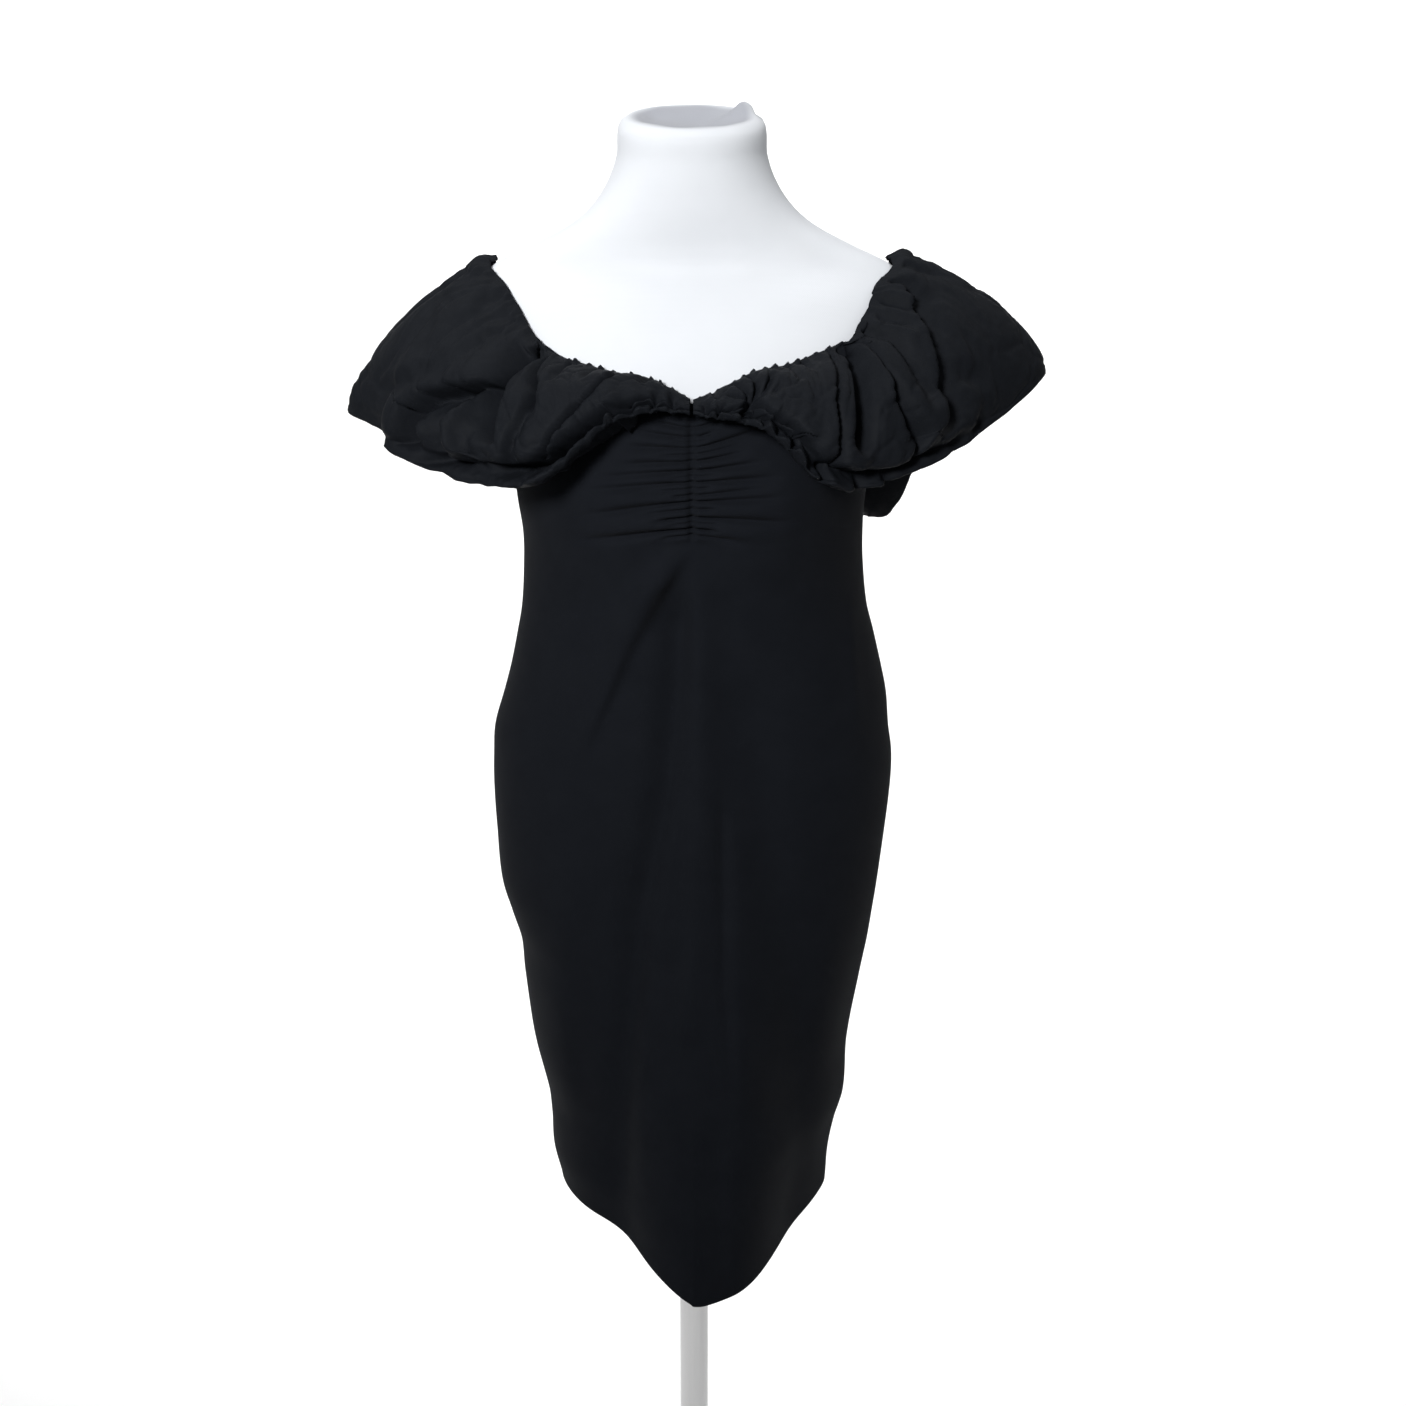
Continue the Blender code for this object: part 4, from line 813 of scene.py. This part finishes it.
def ruffle_place(side, stations, folds, gathers):
    """A function that lays out one half of the ruffle, by station and step."""
    station_at = reader(STATION_COLUMNS, stations)
    folds = fold_paths(folds)
    ease = JERSEY_WALL / 2 + RUFFLE_WALL / 2 + 0.0004

    def frame_of(station):
        base = dress_point(side * station_at("neck_angle", station), station_at("neck_z", station), ease)
        edge = Vector([station_at(key, station) for key in ("edge_out", "edge_y", "edge_z")])
        edge.x *= side
        middle = (base + edge) / 2
        across = (edge - base).normalized()
        outward = Vector((middle.x, middle.y, 0.0)).normalized() + Vector((0.0, 0.0, 0.5))
        outward = (outward - across * outward.dot(across)).normalized()
        band = min(max(station_at("band", station), 0.0), 1.0)
        return base, across, outward, (edge - base).length, station_at("puff", station), band

    frames = {}

    def plain(station, step):
        """The ruffle's puffed section, without its folds."""
        if station not in frames:
            frames[station] = frame_of(station)
        base, across, outward, chord, puff, band = frames[station]
        along = lerp(puff_at("along", step), puff_at("band_along", step), band)
        out = lerp(puff_at("out", step), puff_at("band_out", step), band)
        on_cap = bell(station - 1.0, CAP_LIFT["stations"]) * bell(step - CAP_LIFT["step"], CAP_LIFT["steps"])
        out += CAP_LIFT["out"] * on_cap
        return base + across * (along * chord) + outward * (out * puff), across, outward

    def place(station, step):
        spot, across, outward = plain(station, step)
        sink, slide_u, slide_v = folded(folds, station, step)
        if slide_u or slide_v:
            aside = plain(min(station + 0.01, 2.0), step)[0] - plain(max(station - 0.01, 0.0), step)[0]
            down = plain(station, min(step + 0.2, 10.0))[0] - plain(station, max(step - 0.2, 0.0))[0]
            spot += aside.normalized() * slide_u + down.normalized() * slide_v
        under = lerp(1.0, 0.4, smooth((step - CROWN_STEP) / 2.5))
        gather = sum(
            depth * bell(station - at, width) * smooth(1.3 - step / reach)
            for at, depth, reach, width in gathers
            if abs(station - at) < 3.0 * width
        )
        lobe = edge_wave(side, station) * bell(step - CROWN_STEP, 2.4)
        pattern = station + (2.5 if side > 0 else 0.0)
        crease = crumple(pattern, step) * smooth(step) * lerp(0.40, 0.80, smooth(station / 0.8))
        deeper = lerp(FOLD_DEPTH["front"], FOLD_DEPTH["back"], smooth((station - 1.0) / 0.12))
        sink *= deeper * smooth(step / 1.2) * under
        spot += outward * (gather + crease - sink) + (across + outward) * lobe
        spot -= across * (0.5 * max(sink, 0.0) * min(step / CROWN_STEP, 1.0) ** 2)
        spot.z += 0.5 * gather * smooth(1.0 - step)
        return seated(spot, BODY_CLEARANCE) if step else spot

    return place


def ruffle(name, side, stations, folds, seed):
    columns = spread((0.0, 1.0, 2.0), RUFFLE_COLUMNS)
    rows = [10.0 * i / RUFFLE_ROWS for i in range(RUFFLE_ROWS + 1)]
    place = ruffle_place(side, stations, folds, puckers(PUCKER_COUNT, seed))
    return sheet_of_cloth(name, columns, rows, place, RUFFLE_FLAT, RUFFLE_WALL)


def plain_weave(name, colour, lighter, roughness):
    """A crisp plain weave: over-and-under threads in the cloth's own map, and a fine crinkle."""
    made = bpy.data.materials.new(name)
    nodes, links, shader = nodes_of(made)
    shader.inputs["Roughness"].default_value = roughness
    shader.inputs["Specular IOR Level"].default_value = 0.040
    chart = nodes.new("ShaderNodeUVMap")
    chart.uv_map = "cut"
    threads = nodes.new("ShaderNodeTexChecker")
    threads.inputs["Scale"].default_value = 1400.0
    links.new(chart.outputs["UV"], threads.inputs["Vector"])
    crinkle = mottle(nodes, links, 95.0, 6.0, 0.6)
    fine = relief(nodes, links, threads.outputs["Fac"], 0.35, 0.00010)
    broad = relief(nodes, links, crinkle, 0.5, 0.0010)
    links.new(fine.outputs["Normal"], broad.inputs["Normal"])
    links.new(broad.outputs["Normal"], shader.inputs["Normal"])
    links.new(two_shades(nodes, links, crinkle, colour, lighter), shader.inputs["Base Color"])
    return made


woven = plain_weave("black_woven", (0.0055, 0.0064, 0.0083, 1.0), (0.0096, 0.0109, 0.0136, 1.0), 0.62)
ruffle_left = ruffle("woven_ruffle_left", -1, LEFT_STATIONS, LEFT_FOLDS, 11)
ruffle_right = ruffle("woven_ruffle_right", 1, RIGHT_STATIONS, RIGHT_FOLDS, 29)
for piece, node in ((ruffle_left, "ruffle_left"), (ruffle_right, "ruffle_right")):
    piece.data.materials.append(woven)
    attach(piece, "root")
    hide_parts(node)


# The dress form's body
# A padded shell under a stretched white jersey cover, without head, arms or legs. The cover is drawn
# together at the top of the neck, where it stands in a small bunch.

FORM_SIDES = 120
FORM_COLUMNS = ("height", "half_width", "front", "back", "slope")
FORM_SECTIONS = (
    (0.790, 0.1500, 0.0840, 0.1040, 0.00),
    (0.800, 0.1570, 0.0900, 0.1100, 0.00),
    (0.845, 0.1700, 0.0970, 0.1225, 0.00),
    (0.885, 0.1762, 0.1010, 0.1272, 0.00),
    (0.915, 0.1762, 0.1020, 0.1260, 0.00),
    (0.950, 0.1700, 0.1040, 0.1190, 0.00),
    (0.990, 0.1570, 0.1030, 0.1050, 0.00),
    (1.030, 0.1500, 0.1020, 0.0950, 0.00),
    (1.065, 0.1450, 0.1040, 0.0915, 0.00),
    (1.095, 0.1435, 0.1130, 0.0900, 0.00),
    (1.120, 0.1440, 0.1230, 0.0905, 0.00),
    (1.150, 0.1462, 0.1284, 0.0925, 0.00),
    (1.180, 0.1500, 0.1265, 0.0960, 0.00),
    (1.210, 0.1560, 0.1195, 0.0980, 0.00),
    (1.240, 0.1655, 0.1090, 0.0980, 0.00),
    (1.270, 0.1790, 0.0935, 0.0960, 0.00),
    (1.300, 0.1870, 0.0755, 0.0900, 0.00),
    (1.325, 0.1845, 0.0600, 0.0800, 0.00),
    (1.3455, 0.1670, 0.0450, 0.0680, 0.00),
    (1.362, 0.1330, 0.0440, 0.0610, 0.00),
    (1.377, 0.1040, 0.0470, 0.0580, 0.00),
    (1.392, 0.0850, 0.0500, 0.0565, 0.00),
    (1.412, 0.0705, 0.0520, 0.0560, 0.02),
    (1.434, 0.0622, 0.0530, 0.0560, 0.08),
    (1.452, 0.0612, 0.0545, 0.0560, 0.16),
    (1.460, 0.0590, 0.0530, 0.0540, 0.19),
    (1.4640, 0.0530, 0.0475, 0.0480, 0.19),
)
# The form is hollowed along the breastbone, and drawn in behind the dress's gathers.
BREASTBONE = {"height": 1.175, "sink": 0.0075, "width": 0.036, "tall": 0.070}
GATHER_ROOM = {"height": 1.185, "sink": 0.0066, "width": 0.105, "tall": 0.072}
form_at = reader(FORM_COLUMNS, FORM_SECTIONS)


def form_point(angle, height):
    """A point on the form's cover; the top of the neck slopes down towards the front."""
    half = form_at("half_width", height)
    front, back = form_at("front", height), form_at("back", height)
    x, y = section_point(angle, (half, half), front, back, SECTION_POWER)
    if y < 0.0:
        y -= bust_rise(x, height) * max(math.cos(math.radians(angle)), 0.0) ** 0.5
        for hollow in (BREASTBONE, GATHER_ROOM):
            y += hollow["sink"] * bell(x, hollow["width"]) * bell(height - hollow["height"], hollow["tall"])
    return Vector((x, y, height + form_at("slope", height) * y))


# The gathered top of the neck: rings from its rim inwards, each so much below the one before, the small
# bunch in which the cover is tied off, near the back on the right, and the ripple of the cover round it.
NECK_TOP = (
    (0.97, -0.0004), (0.92, -0.0002), (0.86, 0.0004), (0.79, 0.0010), (0.71, 0.0014),
    (0.62, 0.0014), (0.52, 0.0012), (0.41, 0.0010), (0.29, 0.0008), (0.16, 0.0006),
)
NECK_RIM = 0.053
NECK_RIPPLE = 0.0030
NECK_BUNCH = {"at": (0.042, 0.014), "rise": 0.0085, "width": 0.0100}


def form_body():
    """Rings up the form, bridged, and closed at the foot and over the gathered top of the neck."""
    work = bmesh.new()
    chart = work.loops.layers.uv.new("cut")
    heights = spread((0.790, 0.800, 1.340, FORM_SECTIONS[-1][0]), (3, 70, 34))
    rings = []
    for height in heights:
        ring = bmesh.ops.create_circle(work, segments=FORM_SIDES, radius=1.0)["verts"]
        for number, corner in enumerate(ring):
            corner.co = form_point(360.0 * number / FORM_SIDES, height)
        rings.append(list(dict.fromkeys(edge for corner in ring for edge in corner.link_edges)))
    for lower, upper in zip(rings, rings[1:]):
        bmesh.ops.bridge_loops(work, edges=lower + upper)
    bmesh.ops.holes_fill(work, edges=rings[0], sides=0)
    rim = rings[-1]
    lifts = {}
    for share, sink in NECK_TOP:
        inner = bmesh.ops.extrude_edge_only(work, edges=rim)["geom"]
        corners = [item for item in inner if isinstance(item, bmesh.types.BMVert)]
        rim = [item for item in inner if isinstance(item, bmesh.types.BMEdge)]
        middle = sum((corner.co for corner in corners), Vector()) / len(corners)
        wide = max((corner.co - middle).length for corner in corners)
        for corner in corners:
            corner.co = middle + (corner.co - middle) * (share * NECK_RIM / wide)
            ripple = noise.noise(Vector((corner.co.x * 34.0, corner.co.y * 46.0, 2.0)))
            tied = (corner.co.xy - Vector(NECK_BUNCH["at"])).length
            lifts[corner] = NECK_BUNCH["rise"] * bell(tied, NECK_BUNCH["width"])
            lifts[corner] += NECK_RIPPLE * ripple * smooth((1.0 - share) / 0.3)
            corner.co.z -= sink
    bmesh.ops.holes_fill(work, edges=rim, sides=0)
    for corner, lift in lifts.items():
        corner.co.z += lift
    bmesh.ops.recalc_face_normals(work, faces=work.faces)
    for face in work.faces:
        for loop in face.loops:
            spot = loop.vert.co
            loop[chart].uv = (math.atan2(spot.x, -spot.y) * 0.13, spot.z)
    mesh = bpy.data.meshes.new("form_cover")
    work.to_mesh(mesh)
    work.free()
    mesh.shade_smooth()
    body = bpy.data.objects.new("form_cover", mesh)
    bpy.context.scene.collection.objects.link(body)
    return body


def paint_neck_top_shade(material, painted_shade):
    """Painted shade: the cover's colour is darkened to grey over the top of the neck, where the light falls
    at a grazing angle.
    """
    nodes, links, shader = nodes_of(material)
    spot = nodes.new("ShaderNodeTexCoord")
    from_middle = nodes.new("ShaderNodeVectorMath")
    from_middle.operation = "MULTIPLY_ADD"
    from_middle.inputs[1].default_value = (1.0, 1.1, 1.0)
    from_middle.inputs[2].default_value = (0.0, 0.0, -FORM_SECTIONS[-1][0])
    links.new(spot.outputs["Object"], from_middle.inputs[0])
    reach = nodes.new("ShaderNodeVectorMath")
    reach.operation = "LENGTH"
    links.new(from_middle.outputs["Vector"], reach.inputs[0])
    # Mask of the painted shade: full inside the neck's rim, none outside it.
    rim = nodes.new("ShaderNodeMapRange")
    rim.interpolation_type = "SMOOTHSTEP"
    rim.inputs["From Min"].default_value = 0.043
    rim.inputs["From Max"].default_value = 0.056
    links.new(reach.outputs["Value"], rim.inputs["Value"])
    cover = shader.inputs["Base Color"].links[0].from_socket
    # Mixes the painted grey shade into the white cover's colour over the neck top.
    painted_shade_mix = nodes.new("ShaderNodeMix")
    painted_shade_mix.data_type = "RGBA"
    painted_shade_mix.inputs["A"].default_value = painted_shade
    links.new(cover, painted_shade_mix.inputs["B"])
    links.new(rim.outputs["Result"], painted_shade_mix.inputs["Factor"])
    links.new(painted_shade_mix.outputs["Result"], shader.inputs["Base Color"])


form_cover = form_body()
white_knit = knit(
    "white_jersey", (0.62, 0.64, 0.67, 1.0), (0.67, 0.69, 0.72, 1.0),
    roughness=0.85, sheen=0.10, pitch=0.0011, lift=0.00010,
)
# Painted shade: a grey over the top of the neck, standing in for the shading there.
paint_neck_top_shade(white_knit, (0.32, 0.33, 0.36, 1.0))
form_cover.data.materials.append(white_knit)
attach(form_cover, "root")
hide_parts("form_torso")


# The stand
# A white painted steel tube in a round white painted steel base with a low hub.

def satin_paint(name, colour):
    """A satin paint with a faint orange peel and a slightly uneven gloss."""
    made = bpy.data.materials.new(name)
    nodes, links, shader = nodes_of(made)
    shader.inputs["Base Color"].default_value = colour
    shader.inputs["Coat Weight"].default_value = 0.2
    peel = mottle(nodes, links, 420.0)
    links.new(relief(nodes, links, peel, 0.15, 0.0002).outputs["Normal"], shader.inputs["Normal"])
    patchy = nodes.new("ShaderNodeMapRange")
    patchy.inputs["To Min"].default_value = 0.34
    patchy.inputs["To Max"].default_value = 0.46
    links.new(peel, patchy.inputs["Value"])
    links.new(patchy.outputs["Result"], shader.inputs["Roughness"])
    return made


white_paint = satin_paint("white_paint", (0.80, 0.80, 0.80, 1.0))
for name in ("form_pole", "form_base"):
    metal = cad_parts[name]
    metal.data.materials.clear()
    metal.data.materials.append(white_paint)


# The studio
# A white floor that curves up behind, with a lamp on either side in front, one panel that lights the white
# behind the dress, and the camera in front of it, a little above.

SWEEP = {"front": -1.8, "back": 2.2, "bend": 1.5, "top": 2.7, "width": 9.0}


def studio_sweep():
    """White paper: a flat floor, a round bend and an upright back."""
    back, bend = SWEEP["back"], SWEEP["bend"]
    profile = [(SWEEP["front"], 0.0), (back, 0.0)]
    for turn in range(6, 91, 6):
        angle = math.radians(turn)
        profile.append((back + bend * math.sin(angle), bend - bend * math.cos(angle)))
    profile.append((back + bend, SWEEP["top"]))
    work = bmesh.new()
    corners = [work.verts.new((-SWEEP["width"] / 2, y, z)) for y, z in profile]
    edges = [work.edges.new(pair) for pair in zip(corners, corners[1:])]
    grown = bmesh.ops.extrude_edge_only(work, edges=edges)["geom"]
    far_side = [item for item in grown if isinstance(item, bmesh.types.BMVert)]
    bmesh.ops.translate(work, verts=far_side, vec=(SWEEP["width"], 0.0, 0.0))
    bmesh.ops.recalc_face_normals(work, faces=work.faces)
    mesh = bpy.data.meshes.new("studio_sweep")
    work.to_mesh(mesh)
    work.free()
    mesh.shade_smooth()
    sweep = bpy.data.objects.new("studio_sweep", mesh)
    bpy.context.scene.collection.objects.link(sweep)
    paper = bpy.data.materials.new("white_paper")
    nodes, links, shader = nodes_of(paper)
    shader.inputs["Base Color"].default_value = (0.92, 0.92, 0.92, 1.0)
    shader.inputs["Roughness"].default_value = 0.9
    mesh.materials.append(paper)


studio_sweep()


def panel_light(name, place, aim, size, power, beam=180.0):
    """A flat rectangular lamp, aimed at a place; its beam is in degrees."""
    lamp = bpy.data.lights.new(name, "AREA")
    lamp.spread = math.radians(beam)
    lamp.shape = "RECTANGLE"
    lamp.size, lamp.size_y = size
    lamp.energy = power
    holder = bpy.data.objects.new(name, lamp)
    holder.location = place
    holder.rotation_euler = (Vector(aim) - Vector(place)).to_track_quat("-Z", "Y").to_euler()
    bpy.context.scene.collection.objects.link(holder)


panel_light("key_panel", (-0.8, -2.2, 2.2), (0.0, 0.0, 1.30), (0.55, 0.55), 8.4, beam=60.0)
panel_light("fill_panel", (1.1, -2.4, 1.5), (0.0, 0.0, 1.1), (1.2, 1.6), 0.8)
panel_light("back_panel", (0.0, 0.5, 2.7), (0.0, 3.4, 1.0), (4.0, 0.8), 170.0)
world = bpy.data.worlds.new("studio_air")
bpy.context.scene.world = world
world.use_nodes = True
world.node_tree.nodes["Background"].inputs["Color"].default_value = (1.0, 1.0, 1.0, 1.0)
world.node_tree.nodes["Background"].inputs["Strength"].default_value = 0.20
bpy.context.scene.view_settings.view_transform = "Standard"

CAMERA = {"distance": 1.7, "rise": 18.0, "aim": (0.009, 0.0, 0.96), "lens": 48.36}
rise = math.radians(CAMERA["rise"])
aim = Vector(CAMERA["aim"])
camera = bpy.data.objects.new("camera", bpy.data.cameras.new("camera"))
camera.data.lens = CAMERA["lens"]
camera.data.sensor_width = 36.0
camera.location = aim + Vector((0.0, -math.cos(rise), math.sin(rise))) * CAMERA["distance"]
camera.rotation_euler = (aim - camera.location).to_track_quat("-Z", "Y").to_euler()
bpy.context.scene.collection.objects.link(camera)
bpy.context.scene.camera = camera
